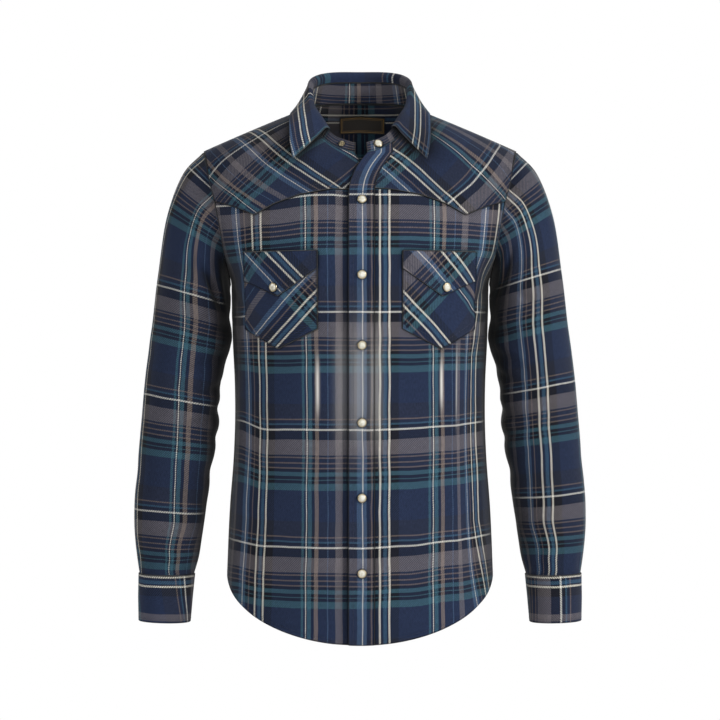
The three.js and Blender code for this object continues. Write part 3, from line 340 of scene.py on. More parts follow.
def top_edge(side, u):
    t = np.maximum(0, (u - NECK_SHARE) / (1 - NECK_SHARE))
    shoulder = mix(neck_point(90), SHOULDER, t[:, None])
    shoulder[:, 2] += SHOULDER_ARCH * t * (1 - t)
    turn = 90 * u / NECK_SHARE
    neck = neck_point(turn if side == "front" else 180 - turn)
    return np.where((u >= NECK_SHARE)[:, None], shoulder, neck)


def body_point(side, u, z):
    angle = radians(90 * u)
    sign, column = (-1, 2) if side == "front" else (1, 3)
    half, reach = table(BODY, 1, z), table(BODY, column, z)
    return stack(half * np.sin(angle), sign * reach * boxy(angle), z)


def row_point(row, u):
    _, centre_y, centre_z, edge_x, edge_y, edge_z, wrap = row
    full = math.pi / 2 * wrap
    angle = u * full
    turned = (1 - boxy(angle)) / (1 - boxy(full))
    return stack(
        edge_x * np.sin(angle) / math.sin(full),
        mix(centre_y, edge_y, turned),
        mix(centre_z, edge_z, np.sin(radians(90 * u)) ** 2),
    )


def smooth_panel(side, u, v):
    """Outer face of a panel with no folds; u from the centre line, v from the hem."""
    u, v = grids(u, v)
    shape = u.shape
    u, v = u.ravel(), v.ravel()
    out = np.empty((u.size, 3))
    low = v < LOWER_SHARE
    if low.any():
        drop = np.maximum(0, np.cos(radians(90 * u[low]))) ** HEM_POWER
        hem = SIDE_NOTCH_Z - HEM_DROP[side] * drop
        out[low] = body_point(side, u[low], mix(hem, UNDERARM_Z, v[low] / LOWER_SHARE))
    if (~low).any():
        uu = u[~low]
        rows = YOKE_ROWS[side]
        top, last = top_edge(side, uu), row_point(rows[-1], uu)
        bend = mix(NECK_CENTRE_BEND, 1, smooth(uu / BEND_SPAN[side]))
        arch = []
        for t in THIRDS:
            q = t * math.pi / 2
            back, up = mix(t, 1 - math.cos(q), bend), mix(t, math.sin(q), bend)
            arch.append(eased(last, top, (t, back, up)))
        below = body_point(side, uu, np.full(uu.shape, float(BELOW_UNDERARM)))
        points = np.array([below, *[row_point(r, uu) for r in rows], *arch, top])
        places = [BELOW_UNDERARM, *[r[0] for r in rows], *ARCH_PLACES, TOP_PLACE]
        at = mix(UNDERARM_Z, TOP_PLACE, (v[~low] - LOWER_SHARE) / (1 - LOWER_SHARE))
        out[~low] = through(places, points, at)
    return out.reshape(shape + (3,))


def troughs(folds, angle, z, full_turn=False):
    total = np.zeros(np.broadcast(angle, z).shape)
    for f_angle, f_z, wide, high, tilt, depth in folds:
        off = angle - f_angle
        if full_turn:
            off = (off + 540) % 360 - 180
        up = z - f_z - off * tilt
        total += depth * np.exp(-((off / wide) ** 2) - (up / high) ** 2)
    return total


def panel(side, u, v, out, whose=None):
    """Points and outward normals of a panel, moved out by a distance, with its folds."""
    u, v = grids(u, v)
    at = smooth_panel(side, u, v)
    normal = facing(lambda u, v: smooth_panel(side, u, v), u, v, NUDGE, NUDGE)
    if side == "back":
        normal = -normal
    level = ((u > 0.999) & (v <= LOWER_SHARE)) | ((v > 0.999) & (u >= NECK_SHARE))
    normal[..., 1] = np.where(level, 0, normal[..., 1])
    normal = unit(normal)
    fade = clamp01((1 - u) / FADE["side"]) * clamp01((np.abs(u) - FADE["centre"]) / FADE["centre"])
    fade = fade * clamp01((BODY_TOP - v) / FADE["top"])
    folds = BODY_FOLDS[side] + FINE_BODY_FOLDS[whose or "back"]
    sunk = fade * troughs(folds, 90 * u, at[..., 2])
    if whose == "right":
        depth, from_x, span_x, from_z, span_z = UNDERLAP
        sunk = sunk + depth * smooth((from_x - at[..., 0]) / span_x) * (
            1 - smooth((at[..., 2] - from_z) / span_z))
    at[..., 1] += -SEAM / 2 if side == "front" else SEAM / 2
    return at + normal * (out - sunk)[..., None], normal


def u_at_x(side, v, wanted):
    v, wanted = grids(v, wanted)
    u = wanted / ABOUT_HALF
    for _ in range(X_STEPS):
        here = smooth_panel(side, u, v)[..., 0]
        slope = (smooth_panel(side, u + NUDGE, v)[..., 0] - here) / NUDGE
        u = np.clip(u + (wanted - here) / slope, -0.4, 1)
    return u


def v_at(side, u, line):
    """Height share at which column u crosses a line of x and z, or a level."""
    xs, zs = np.array(line, float).T if isinstance(line, list) else (None, line)
    low, high = np.zeros(np.shape(u)), np.ones(np.shape(u))
    for _ in range(Z_STEPS):
        middle = (low + high) / 2
        here = smooth_panel(side, u, middle)
        target = zs if xs is None else np.interp(here[..., 0], xs, zs)
        under = here[..., 2] < target
        low, high = np.where(under, middle, low), np.where(under, high, middle)
    return (low + high) / 2


def locate(side, x, z):
    v = np.full(np.shape(x), 0.5)
    for _ in range(BOTH_STEPS):
        u = u_at_x(side, v, x)
        v = v_at(side, u, z)
    return u, v


def front_edge(whose, z):
    start, span, shift, power = EDGES[whose]
    return -LAP + shift * clamp01((z - start) / span) ** power


def moved_u(whose, v, moved):
    u = np.zeros(np.shape(v))
    for _ in range(EDGE_STEPS):
        u = u_at_x("front", v, front_edge(whose, smooth_panel("front", u, v)[..., 2]) + moved)
    return u


# Armhole: points by turn, from the shoulder down the front and up the back
def armhole_run():
    v = np.linspace(LOWER_SHARE, 1, 60)
    runs = []
    for side, order, first in (("front", v[::-1], 0), ("back", v, 180)):
        at, normal = panel(side, np.ones(60), order, 0.0, "left" if side == "front" else None)
        length = walked(at)
        runs.append((at, normal, first + 180 * length / length[-1]))
    return [np.concatenate([down[:-1], up]) for down, up in zip(*runs)]


ARM_AT, ARM_NORMAL, ARM_TURN = armhole_run()


def armhole(turn, values):
    return between(np.mod(turn, 360), ARM_TURN, values)


def section(row, turn):
    out_x, out_z, in_x, in_z, depth, mid_y = row
    c, s = np.cos(radians(turn)), np.sin(radians(turn))
    return stack(
        mix(in_x, out_x, (1 + c) / 2),
        mid_y - depth * np.sign(s) * np.abs(s) ** SLEEVE_SQUARENESS,
        mix(in_z, out_z, (1 + c) / 2),
    )


# Places of the sections by their mean height, after the three of the cap
SLEEVE_FALLS = np.abs(np.diff(SLEEVE[:, [1, 3]], axis=0)).mean(axis=1)
SLEEVE_PLACES = np.concatenate([
    np.arange(3) * CAP_STEP, 3 * CAP_STEP + np.insert(np.cumsum(SLEEVE_FALLS), 0, 0.0),
])


def smooth_sleeve(turn, t):
    shape = np.shape(turn)
    turn, t = np.ravel(turn), np.ravel(t)
    start = armhole(turn, ARM_AT)
    start[:, 0] += SLEEVE_START
    first = section(SLEEVE[0], turn)
    cap = []
    for share in THIRDS:
        q = share * math.pi / 2
        out, down = mix(share, math.sin(q), CAP_ARCH), mix(share, 1 - math.cos(q), CAP_ARCH)
        cap.append(eased(start, first, (out, share, down)))
    points = np.array([start, *cap, *[section(row, turn) for row in SLEEVE]])
    return through(SLEEVE_PLACES, points, t * SLEEVE_PLACES[-1]).reshape(shape + (3,))


def sleeve(turn, t, out, whose):
    turn, t = grids(turn, t)
    at = smooth_sleeve(turn, t)
    normal = facing(smooth_sleeve, turn, t, 0.5, NUDGE)
    away, span, share = ARM_BLEND
    as_panel = smooth((np.abs(np.mod(turn, 360) - 180) - away) / span) * (1 - smooth(t / share))
    normal = unit(mix(normal, armhole(turn, ARM_NORMAL), as_panel[..., None]))
    sunk = 0.0
    for folds, begin, span, end in (
        (SLEEVE_FOLDS, FADE["cap"], FADE["cap"], FADE["cuff"]),
        (FINE_SLEEVE_FOLDS[whose], *FINE_FADE),
    ):
        fade = clamp01((t - begin) / span) * clamp01((1 - t) / end)
        sunk = sunk + fade * troughs(folds, turn, at[..., 2], True)
    return at + normal * (out - sunk)[..., None], normal


def cuff(turn, share, out):
    along = np.asarray(share, float) * (len(CUFF) - 1)
    k = np.minimum(len(CUFF) - 2, along.astype(int))
    rows = mix(CUFF[k], CUFF[k + 1], (along - k)[..., None])
    parts = np.moveaxis(rows, -1, 0)
    at = section(parts, turn)
    normal = unit((at - section(parts, turn + 180)) * [1, 1, 0])
    tucked = 1 - smooth((turn - CUFF_TUCK_END) / CUFF_UNTUCK)
    return at + normal * (out - tucked * CUFF_TUCK)[..., None], normal


def ring(turn):
    is_right = np.asarray(turn) > 180
    at = neck_point(np.where(is_right, 360 - turn, turn))
    at[..., 0] *= np.where(is_right, -1, 1)
    return at


def stand(turn, share):
    turn, share = grids(turn, share)
    at = ring(turn)
    outward = unit((at - [0, NECK_MID_Y, 0]) * [1, 1, 0])
    folded = np.where(turn > 180, 360 - turn, turn)
    height, lean = table(STAND, 1, folded), radians(table(STAND, 2, folded))
    rising = outward * -np.sin(lean)[..., None] + stack(0, 0, np.cos(lean))
    at = at - outward * STAND_INSET + rising * (share * height)[..., None]
    at[..., 2] += STAND_LIFT
    normal = unit(np.cross(ring(turn + 1) - ring(turn - 1), rising))
    return at, normal, outward, rising


def leaf_point(turn, share):
    turn, share = grids(turn, share)
    shape = turn.shape
    turn, share = turn.ravel(), share.ravel()
    is_right = turn > 180
    end = np.where(is_right, LEAF_END["right"], LEAF_END["left"])
    folded = np.where(is_right, 360 - turn, turn)
    along = clamp01((folded - end) / (180 - end))
    at, _, outward, rising = stand(turn, np.ones(turn.shape))
    rise, roll = table(LEAF, 4, along)[:, None], table(LEAF, 5, along)[:, None]
    x, y, z = (table(LEAF, column, along) for column in (1, 2, 3))
    edge = stack(np.where(is_right, -1, 1) * x, y, z)
    start = at + rising * LEAF_GAP
    near = start + rising * (rise * LEAF_NEAR[0]) + outward * LEAF_NEAR[1]
    fold = start + outward * roll + np.array([0, 0, 1]) * rise
    over = mix(fold, edge, LEAF_OVER) + outward * LEAF_BULGE * OVER_BULGE
    middle = mix(fold, edge, LEAF_HALFWAY) + outward * LEAF_BULGE
    points = np.array([start, near, fold, over, middle, edge])
    return through(LEAF_PLACES, points, share).reshape(shape + (3,))


def leaf(turn, share):
    turn, share = grids(turn, share)
    at = leaf_point(turn, share)
    return at, -facing(leaf_point, turn, share, 0.5, 0.01, -1.0)


# ---------------------------------------------------------------- cloth coordinates
# Repeat of the plaid along each way, and the height of one of its level lines
WARP_PERIOD, WEFT_PERIOD = 174.0, 158.0
LEVEL_LINE_Z = -122.6
# Rise of the cross lines by height, at three distances from the front edge
RISE_AT = (60, 130, 190)
CROSS_RISE = {
    "left": [(-596.6, 2, 8, 12), (-438.6, 1.5, 5, 10), (-280.6, 0, 1, 1), (-122.6, 0.5, -2.5, -5)],
    "right": [(-596.6, 0, 0, 5), (-438.6, 0, 0, 12), (-280.6, 0, -2, -6), (-122.6, -0.5, -7.5, -13)],
}
# How much the cloth is taken in toward the side seam, by height
TAKEN_IN = {
    "left": ((-680, 0.1), (-622, 0.55), (-563, 1), (-440, 1.05), (-340, 1), (-255, 0.4), (-200, 0)),
    "right": ((-640, 0), (-560, 0.8), (-440, 1), (-340, 0.7), (-240, 0)),
}
# Left: how much, from which distance, over what span. Right: by distance, taken in and let out.
LEFT_TAKE, RIGHT_TAKE = (36, 133, 40), (0.0003, 0.00012)
FRONT_START = {"left": -33, "right": 141}
# Sleeve lines across: centre z, centre x, tilt; and where the cloth's own level is
SLEEVE_TILT = np.array([
    (-640, 266, 0.03), (-528, 257.6, 0.086), (-379, 242, 0.19), (-300, 238.5, 0.25),
    (-229, 236, 0.31), (-160, 233, 0.64), (-78, 228, 1.0), (-20, 222, 1.2),
], float)
SLEEVE_LEVELS = {
    "left": ((-640, -528, -379, -229, -186, -62, 0), (427, 313, 153, -3, -55, -171, -233)),
    "right": ((-640, -549.5, -396.8, -249.6, -82, 0), (406, 312, 154, -4, -162, -244)),
}
LEVEL_SPAN, LEVEL_STEPS, CUFF_RATE = (-760.0, 160.0), 26, 1.05
# Gathered towards the cuff: how much, below which height, over what span
GATHERS = [(0.16, -560, 60), (0.13, -613, 28)]
# Around a sleeve: start, direction, and how much the cloth spreads beyond the seen half
SLEEVE_ROUND = {"left": (84, -1, 0.4), "right": (-19.5, 1, 0.2)}
SEEN_HALF = 97


def level_walk(points):
    """Sideways distance along each row of points."""
    return walked(points[..., :2], 1)


def front_cloth(whose, s, z):
    rows = np.array(CROSS_RISE[whose], float)
    share = np.clip((z - rows[0, 0]) / (rows[1, 0] - rows[0, 0]), 0, len(rows) - 1)
    k = np.minimum(len(rows) - 2, share.astype(int))
    rise = near = 0.0
    for i, place in enumerate(RISE_AT):
        here = mix(rows[k, i + 1], rows[k + 1, i + 1], share - k)
        rise = mix(rise, here, smooth((s - near) / (place - near)))
        near = place
    taken = np.interp(z, *np.array(TAKEN_IN[whose], float).T)
    if whose == "left":
        much, start, span = LEFT_TAKE
        across = s + much * taken * smooth((s - start) / span)
    else:
        much, less = RIGHT_TAKE
        across = -s * (1 + (much * taken - less) * np.maximum(s, 0))
    return np.stack([across + FRONT_START[whose], LEVEL_LINE_Z - z + rise], axis=-1)


def turned(a, b, clockwise, start):
    """Cloth coordinates of a piece cut at 45 degrees, from its places to the right and up."""
    across, down = (a - b, -a - b) if clockwise else (a + b, a - b)
    r = math.sqrt(0.5)
    return np.stack([across * r - start[0], down * r - start[1]], axis=-1)


def sleeve_cloth(whose, points, arc):
    x, z = points[..., 0], points[..., 2]
    low, high = (np.full(z.shape, end) for end in LEVEL_SPAN)
    zs, xs, tilts = SLEEVE_TILT.T
    for _ in range(LEVEL_STEPS):
        c = (low + high) / 2
        over = c + (x - np.interp(c, zs, xs)) * np.interp(c, zs, tilts) > z
        high, low = np.where(over, c, high), np.where(over, low, c)
    places, levels = SLEEVE_LEVELS[whose]
    c = (low + high) / 2
    down = np.interp(c, places, levels) + np.where(c < places[0], (places[0] - c) * CUFF_RATE, 0)
    arc = arc * (1 + sum(much * smooth((start - z) / span) for much, start, span in GATHERS))
    beyond = np.maximum(0, np.abs(arc) - SEEN_HALF) * np.sign(arc)
    start, direction, slow = SLEEVE_ROUND[whose]
    return np.stack([start + direction * arc - slow * beyond, down], axis=-1)


# ---------------------------------------------------------------- meshes
RIM_BULGE = 0.42
STITCH = {"pitch": 3.3, "long": 2.3, "half": 0.3, "high": 0.28}
STITCH_LIFT = 0.05
# Corners of a stitch: its two ends, its two sides and its top
STITCH_FACES = ((0, 2, 4), (0, 4, 3), (1, 4, 2), (1, 3, 4), (0, 3, 2), (1, 2, 3))


class Build:
    """Vertices, faces and cloth coordinates of one piece."""

    def __init__(self):
        self.points, self.cloth, self.faces, self.face_cloth, self.looks = [], [], [], [], []
        self.count = self.cloth_count = 0

    def add(self, points, cloth):
        self.points.append(points.reshape(-1, 3))
        self.cloth.append(cloth.reshape(-1, 2))
        first = self.count, self.cloth_count
        self.count += len(self.points[-1])
        self.cloth_count += len(self.cloth[-1])
        return first

    def face(self, corners, cloth_corners, look=0):
        self.faces.append(corners)
        self.face_cloth.append(cloth_corners)
        self.looks.append(np.full(len(corners), look))

    def finish(self, name, looks):
        points = np.concatenate(self.points) * MM
        cloth = np.concatenate(self.cloth) * MM
        faces = [f for group in self.faces for f in group.tolist()]
        corners = np.concatenate([g.ravel() for g in self.face_cloth])
        mesh = bpy.data.meshes.new(name)
        mesh.from_pydata(points.tolist(), [], faces)
        mesh.uv_layers.new(name="cloth").data.foreach_set("uv", cloth[corners].ravel())
        for look in looks:
            mesh.materials.append(look)
        mesh.polygons.foreach_set("material_index", np.concatenate(self.looks).astype(np.int32))
        mesh.polygons.foreach_set("use_smooth", np.ones(len(mesh.polygons), bool))
        mesh.update()
        piece = bpy.data.objects.new(name, mesh)
        bpy.context.scene.collection.objects.link(piece)
        return piece


def quads(a, b, c, d):
    return np.stack([a, b, c, d], axis=-1).reshape(-1, 4)


def add_sheet(build, outer, normals, cloth, inner_cloth=None, wall=WALL, closed=False):
    """A thin cloth wall with a rounded rim, from a grid of outer points."""
    rows, cols = outer.shape[:2]
    inner = outer - normals * wall
    inner_cloth = cloth if inner_cloth is None else inner_cloth
    used = cols - 1 if closed else cols
    first = [build.add(p[:, :used], c) for p, c in ((outer, cloth), (inner, inner_cloth))]
    i, j = np.meshgrid(np.arange(rows - 1), np.arange(cols - 1), indexing="ij")

    def vertex(layer, i, j):
        return first[layer][0] + i * used + j % used

    def place(layer, i, j):
        return first[layer][1] + i * cols + j

    probe = np.cross(outer[:-1, 1:] - outer[:-1, :-1], outer[1:, :-1] - outer[:-1, :-1])
    facing = (probe * normals[:-1, :-1]).sum() > 0
    for layer in (0, 1):
        order = ((0, 0), (0, 1), (1, 1), (1, 0))
        if facing != (layer == 0):
            order = order[::-1]
        build.face(*[quads(*[at(layer, i + a, j + b) for a, b in order]) for at in (vertex, place)])
    # The rim: rows and columns at the ends, each with the way out from its neighbour
    loops = []
    for row, beside, back in ((0, 1, False), (-1, -2, True)):
        loops.append((np.full(cols, row % rows), np.arange(cols), outer[row] - outer[beside], back))
    if not closed:
        for col, beside, back in ((0, 1, True), (-1, -2, False)):
            away = outer[:, col] - outer[:, beside]
            loops.append((np.arange(rows), np.full(rows, col % cols), away, back))
    for ri, ci, away, back in loops:
        middle = (outer[ri, ci] + inner[ri, ci]) / 2 + unit(away) * wall * RIM_BULGE
        start = build.add(middle, cloth[ri, ci])
        n = np.arange(len(ri) - 1)
        for layer in (0, 1):
            way = -1 if (back == (layer == 0)) == facing else 1
            build.face(*[
                quads(*[at(layer, ri[:-1], ci[:-1]), at(layer, ri[1:], ci[1:]), rim + n + 1, rim + n][::way])
                for at, rim in zip((vertex, place), start)
            ])


def add_stitches(build, path, normals):
    """A row of short raised stitches along a path on the cloth."""
    length = walked(path)
    count = int(length[-1] / STITCH["pitch"])
    start = (np.arange(count) + 0.5) * length[-1] / count - STITCH["long"] / 2
    a, b = (between(at, length, path) for at in (start, start + STITCH["long"]))
    up = unit(between(start + STITCH["long"] / 2, length, normals))
    side = unit(np.cross(b - a, up)) * STITCH["half"]
    c = (a + b) / 2
    corners = np.stack([a, b, c - side, c + side, c + up * STITCH["high"]], axis=1)
    first, first_cloth = build.add(corners, np.zeros((count, 5, 2)))
    base = np.arange(count)[:, None] * 5
    for face in STITCH_FACES:
        build.face(first + base + np.array(face), first_cloth + base + np.array(face), 1)


def dress(piece, slot, *nodes):
    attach(piece, "root")
    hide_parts(*nodes)


# ---------------------------------------------------------------- materials
def linear(*rgb):
    """Linear colour with full cover from three screen values up to 255."""
    shares = [c / 255 for c in rgb]
    return (*[c / 12.92 if c <= 0.04045 else ((c + 0.055) / 1.055) ** 2.4 for c in shares], 1.0)


YARN = {name: linear(*rgb) for name, rgb in {
    "navy": (35, 44, 67),
    "deep": (22, 27, 43),
    "blue": (36, 50, 80),
    "grey_navy": (40, 47, 67),
    "teal": (62, 101, 117),
    "teal_blue": (58, 92, 118),
    "pale_blue": (72, 96, 126),
    "olive": (24, 23, 21),
    "black": (16, 16, 18),
    "grey": (112, 107, 112),
    "tan": (134, 120, 112),
    "dim_tan": (116, 104, 100),
    "brown": (112, 98, 90),
    "white": (226, 224, 216),
    "cream": (236, 231, 215),
}.items()}
# Stripes of the warp and the weft by where each starts, in millimetres
WARP = [
    (0, "cream"), (2.6, "deep"), (5.6, "teal_blue"), (10.2, "deep"), (12.7, "cream"), (15.3, "olive"),
    (27, "navy"), (68.6, "teal"), (72, "navy"), (74.4, "white"), (75.9, "deep"), (77.2, "teal"),
    (82.6, "deep"), (86.6, "tan"), (91.8, "navy"), (104.6, "pale_blue"), (106, "navy"),
    (115, "grey"), (124.8, "grey_navy"), (144.6, "pale_blue"), (151.2, "white"), (152.7, "pale_blue"),
    (157.6, "deep"), (163, "brown"), (164.6, "deep"), (166, "black"), (173.2, "deep"),
]
WEFT = [
    (0, "white"), (2, "deep"), (14.4, "grey"), (35, "navy"), (37.4, "dim_tan"), (39, "navy"),
    (44.8, "dim_tan"), (46.4, "navy"), (51.4, "dim_tan"), (53.2, "deep"), (57.4, "teal"), (63, "deep"),
    (67.6, "teal"), (69, "deep"), (73.4, "teal"), (82.4, "blue"), (124, "grey_navy"),
    (144.2, "dim_tan"), (145.8, "navy"), (150, "teal_blue"), (153, "deep"), (156.6, "navy"),
]
WARP_SHIFT, WEFT_SHIFT = 7.7, 1.0
TWILL_PITCH, YARN_PITCH, LABEL_PITCH = 0.0032, 0.0009, 0.0007
# How far the stripes wander, in metres
WANDER = 0.0026
SLUB_STRETCH = (1.0, 0.12, 1.0)
# Painted shade in hollows, folds, seams and under the collar and flaps: reach in metres, then openness and
# shade
HOLLOW_PAINTED_SHADE = [
    (0.2, [(0.3, 0.08), (0.95, 1.0)]),
    (0.04, [(0.35, 0.08), (0.97, 1.0)]),
    (0.005, [(0.4, 0.2), (0.85, 1.0)]),
]
# Pale streaks at the belly, mixed toward near-white: place across, half width, strength and half height
STREAKS = {
    "left": [
        (0.0805, 0.0021, 0.9, 0.030), (0.106, 0.0018, 0.5, 0.050),
        (-0.012, 0.008, 0.3, 0.075), (-0.036, 0.012, 0.24, 0.075),
    ],
    "right": [(0.0832, 0.0024, 0.9, 0.034), (0.118, 0.010, 0.2, 0.075), (0.135, 0.006, 0.18, 0.075)],
}
STREAK_MIDDLE, STREAK_COLOR = 0.258, linear(232, 228, 222)
# The label's border by distance from its edge, in tenths of a metre
LABEL_SIZE = (63.9, 23.0)
LABEL_BORDER = [(0, 0), (0.12, 1), (0.23, 0), (0.34, 0.75), (0.4, 0), (1, 0)]


def grey(position, value):
    return position, (value, value, value, 1.0)


def spread(amount, middle=1.0):
    """Grey stops for the usual range of a noise, evenly about a middle value."""
    return [grey(0.3, (1 - amount) * middle), grey(0.7, (1 + amount) * middle)]


class Nodes:
    """The node tree of a material or a world."""

    def __init__(self, owner):
        owner.use_nodes = True
        self.owner, self.tree = owner, owner.node_tree
        self.shader = self.tree.nodes.get("Principled BSDF")

    def feed(self, node, inputs):
        """Set or link a node's inputs, by name or number."""
        for key, value in inputs.items():
            if isinstance(value, bpy.types.NodeSocket):
                self.tree.links.new(value, node.inputs[key])
            else:
                node.inputs[key].default_value = value

    def new(self, kind, inputs=None, **settings):
        node = self.tree.nodes.new(kind)
        for key, value in settings.items():
            setattr(node, key, value)
        self.feed(node, inputs or {})
        return node

    def math(self, operation, *values):
        return self.new("ShaderNodeMath", dict(enumerate(values)), operation=operation).outputs[0]

    def wave(self, coordinate, pitch):
        return self.math("SINE", self.math("MULTIPLY", coordinate, 2 * math.pi / pitch))

    def mix(self, factor, a, b, blend="MIX"):
        inputs = {0: factor, 6: a, 7: b}
        return self.new("ShaderNodeMix", inputs, data_type="RGBA", blend_type=blend).outputs[2]

    def ramp(self, factor, stops, interpolation="LINEAR"):
        node = self.new("ShaderNodeValToRGB", {0: factor})
        node.color_ramp.interpolation = interpolation
        elements = node.color_ramp.elements
        elements[0].position, elements[0].color = stops[0]
        elements[1].position, elements[1].color = stops[-1]
        for position, color in stops[1:-1]:
            elements.new(position).color = color
        return node.outputs[0]

    def toned(self, color, factor, stops):
        """A colour times a grey that follows the factor."""
        return self.mix(1.0, color, self.ramp(factor, stops), "MULTIPLY")

    def noise(self, vector, scale, detail=2.0, roughness=0.5):
        inputs = {"Vector": vector, "Scale": scale, "Detail": detail, "Roughness": roughness}
        return self.new("ShaderNodeTexNoise", inputs).outputs["Fac"]

    def cloth(self):
        """The cloth coordinates, whole and by direction."""
        uv = self.new("ShaderNodeUVMap", uv_map="cloth").outputs[0]
        split = self.new("ShaderNodeSeparateXYZ", {0: uv})
        return uv, split.outputs[0], split.outputs[1]

    def surface(self, color, height=None, strength=0.0, deep=0.0, **values):
        inputs = {key.replace("_", " "): value for key, value in values.items()}
        if height is not None:
            bump = {"Height": height, "Strength": strength, "Distance": deep}
            inputs["Normal"] = self.new("ShaderNodeBump", bump).outputs[0]
        self.feed(self.shader, {"Base Color": color, **inputs})
        return self.owner

    def by_ray(self, other, seen, end):
        """Join one shader for bounced light with another for what the camera sees."""
        ray = self.new("ShaderNodeLightPath").outputs["Is Camera Ray"]
        join = self.new("ShaderNodeMixShader", {0: ray, 1: other.outputs[0], 2: seen.outputs[0]})
        self.feed(self.tree.nodes[end], {0: join.outputs[0]})


def plaid_material(name, streaks=(), painted_shade_level=1.0):
    n = Nodes(bpy.data.materials.new(name))
    uv, across, down = n.cloth()

    def stripes(coordinate, scale, rows, period, shift):
        drift = n.math("MULTIPLY", n.math("SUBTRACT", n.noise(uv, scale, 1.0), 0.5), WANDER)
        moved = n.math("ADD", coordinate, drift)
        place = n.math("FRACT", n.math("MULTIPLY_ADD", moved, 1000 / period, shift / period))
        return n.ramp(place, [(start / period, YARN[yarn]) for start, yarn in rows], "CONSTANT")

    warp = stripes(across, 22, WARP, WARP_PERIOD, WARP_SHIFT)
    weft = stripes(down, 17, WEFT, WEFT_PERIOD, WEFT_SHIFT)
    # Twill: slanting ribs in which the warp or the weft lies on top
    rib = n.math("MULTIPLY_ADD", n.wave(n.math("ADD", across, down), TWILL_PITCH), 0.5, 0.5)
    on_top = n.ramp(rib, [grey(0.25, 0.14), grey(0.75, 0.86)])
    color = n.mix(0.12, n.mix(on_top, weft, warp), n.mix(1.0, warp, weft, "LIGHTEN"))
    # Small slubs along the yarns, brushed nap and uneven dye
    stretched = n.new("ShaderNodeMapping", {0: uv, "Scale": SLUB_STRETCH}).outputs[0]
    color = n.toned(color, n.noise(stretched, 1400, 1.0), spread(0.2))
    color = n.toned(color, n.noise(uv, 420, 3.0, 0.6), spread(0.14))
    # Uneven dye about a middle level, which in the sleeves' and yokes' copy is lowered as painted shade
    color = n.toned(color, n.noise(uv, 9), spread(0.07, painted_shade_level))
    if streaks:
        color = streaked(n, color, across, down, streaks)
    # Painted shade: folds, seams and the hollows between the pieces are darkened by how open each point is
    for reach, stops in HOLLOW_PAINTED_SHADE:
        painted_shade_ao = n.new("ShaderNodeAmbientOcclusion", {"Distance": reach}, samples=5)
        color = n.toned(color, painted_shade_ao.outputs["AO"], [grey(*stop) for stop in stops])
    yarns = n.math("MULTIPLY", n.wave(across, YARN_PITCH), n.wave(down, YARN_PITCH))
    height = n.math("MULTIPLY_ADD", n.noise(uv, 900), 1.2, n.math("MULTIPLY_ADD", yarns, 0.25, rib))
    return n.surface(
        color, height, 0.5, 0.00012,
        Roughness=0.92, Specular_IOR_Level=0.18, Sheen_Weight=0.12, Sheen_Roughness=0.5)


def streaked(n, color, across, down, streaks):
    """Streaks down the belly, where the colour is mixed toward near-white."""
    below = n.math("ABSOLUTE", n.math("SUBTRACT", down, STREAK_MIDDLE))
    total = 0.0
    for place, width, strength, tall in streaks:
        reach = n.math("POWER", n.math("DIVIDE", below, tall), 3.0)
        beside = n.math("DIVIDE", n.math("SUBTRACT", across, place), width)
        squared = n.math("MULTIPLY_ADD", beside, beside, reach)
        one = n.math("MULTIPLY", n.math("EXPONENT", n.math("MULTIPLY", squared, -1.0)), strength)
        total = n.math("MAXIMUM", total, one)
    return n.mix(total, color, STREAK_COLOR)


def plain_material(name, color, noise, **values):
    n = Nodes(bpy.data.materials.new(name))
    where = n.new("ShaderNodeTexCoord").outputs["Object"]
    scale, amount = noise
    return n.surface(n.toned(color, n.noise(where, scale, 3.0), spread(amount)), **values)


def pearl_material():
    n = Nodes(bpy.data.materials.new("snap_pearl_marbled"))
    swirl = n.noise(n.new("ShaderNodeTexCoord").outputs["Object"], 260, 4.0, 0.65)
    color = n.ramp(swirl, [
        (0.3, linear(196, 190, 166)), (0.48, linear(228, 224, 206)),
        (0.6, linear(240, 238, 228)), (0.75, linear(214, 206, 184)),
    ])
    return n.surface(color, Roughness=0.24, Coat_Weight=0.6, Coat_Roughness=0.08)


def label_material():
    """Dark woven ground with a gold border and a plain band, and nothing written."""
    n = Nodes(bpy.data.materials.new("label_woven"))
    uv, *along = n.cloth()
    edges = []
    for place, size in zip(along, LABEL_SIZE):
        half = size * MM / 2
        edges.append(n.math("SUBTRACT", half, n.math("ABSOLUTE", n.math("SUBTRACT", place, half))))
    inset = n.math("MULTIPLY", n.math("MINIMUM", *edges), 100)
    line = n.ramp(inset, [grey(*stop) for stop in LABEL_BORDER], "CONSTANT")
    threads = n.wave(along[1], LABEL_PITCH)
    color = n.mix(line, linear(40, 33, 26), linear(138, 108, 58))
    color = n.toned(color, n.math("MULTIPLY_ADD", threads, 0.5, 0.5), [grey(0, 0.75), grey(1, 1.2)])
    color = n.toned(color, n.noise(uv, 700), spread(0.2))
    return n.surface(color, threads, 0.4, 0.0001, Roughness=0.6, Sheen_Weight=0.1)


PLAID = plaid_material("plaid_twill")
# The sleeves and yokes take a copy of the plaid darkened as painted shade
PLAID_PAINTED_SHADE = plaid_material("plaid_twill_painted_shade", painted_shade_level=0.84)
PLAID_FRONT = {w: plaid_material("plaid_twill_" + w, STREAKS[w]) for w in ("left", "right")}
THREAD = plain_material("thread_navy", linear(52, 60, 84), (900, 0.2), Roughness=0.6)
BRASS = plain_material("snap_brass", linear(196, 182, 150), (500, 0.08), Roughness=0.28, Metallic=1.0)
PEARL = pearl_material()
LABEL = label_material()


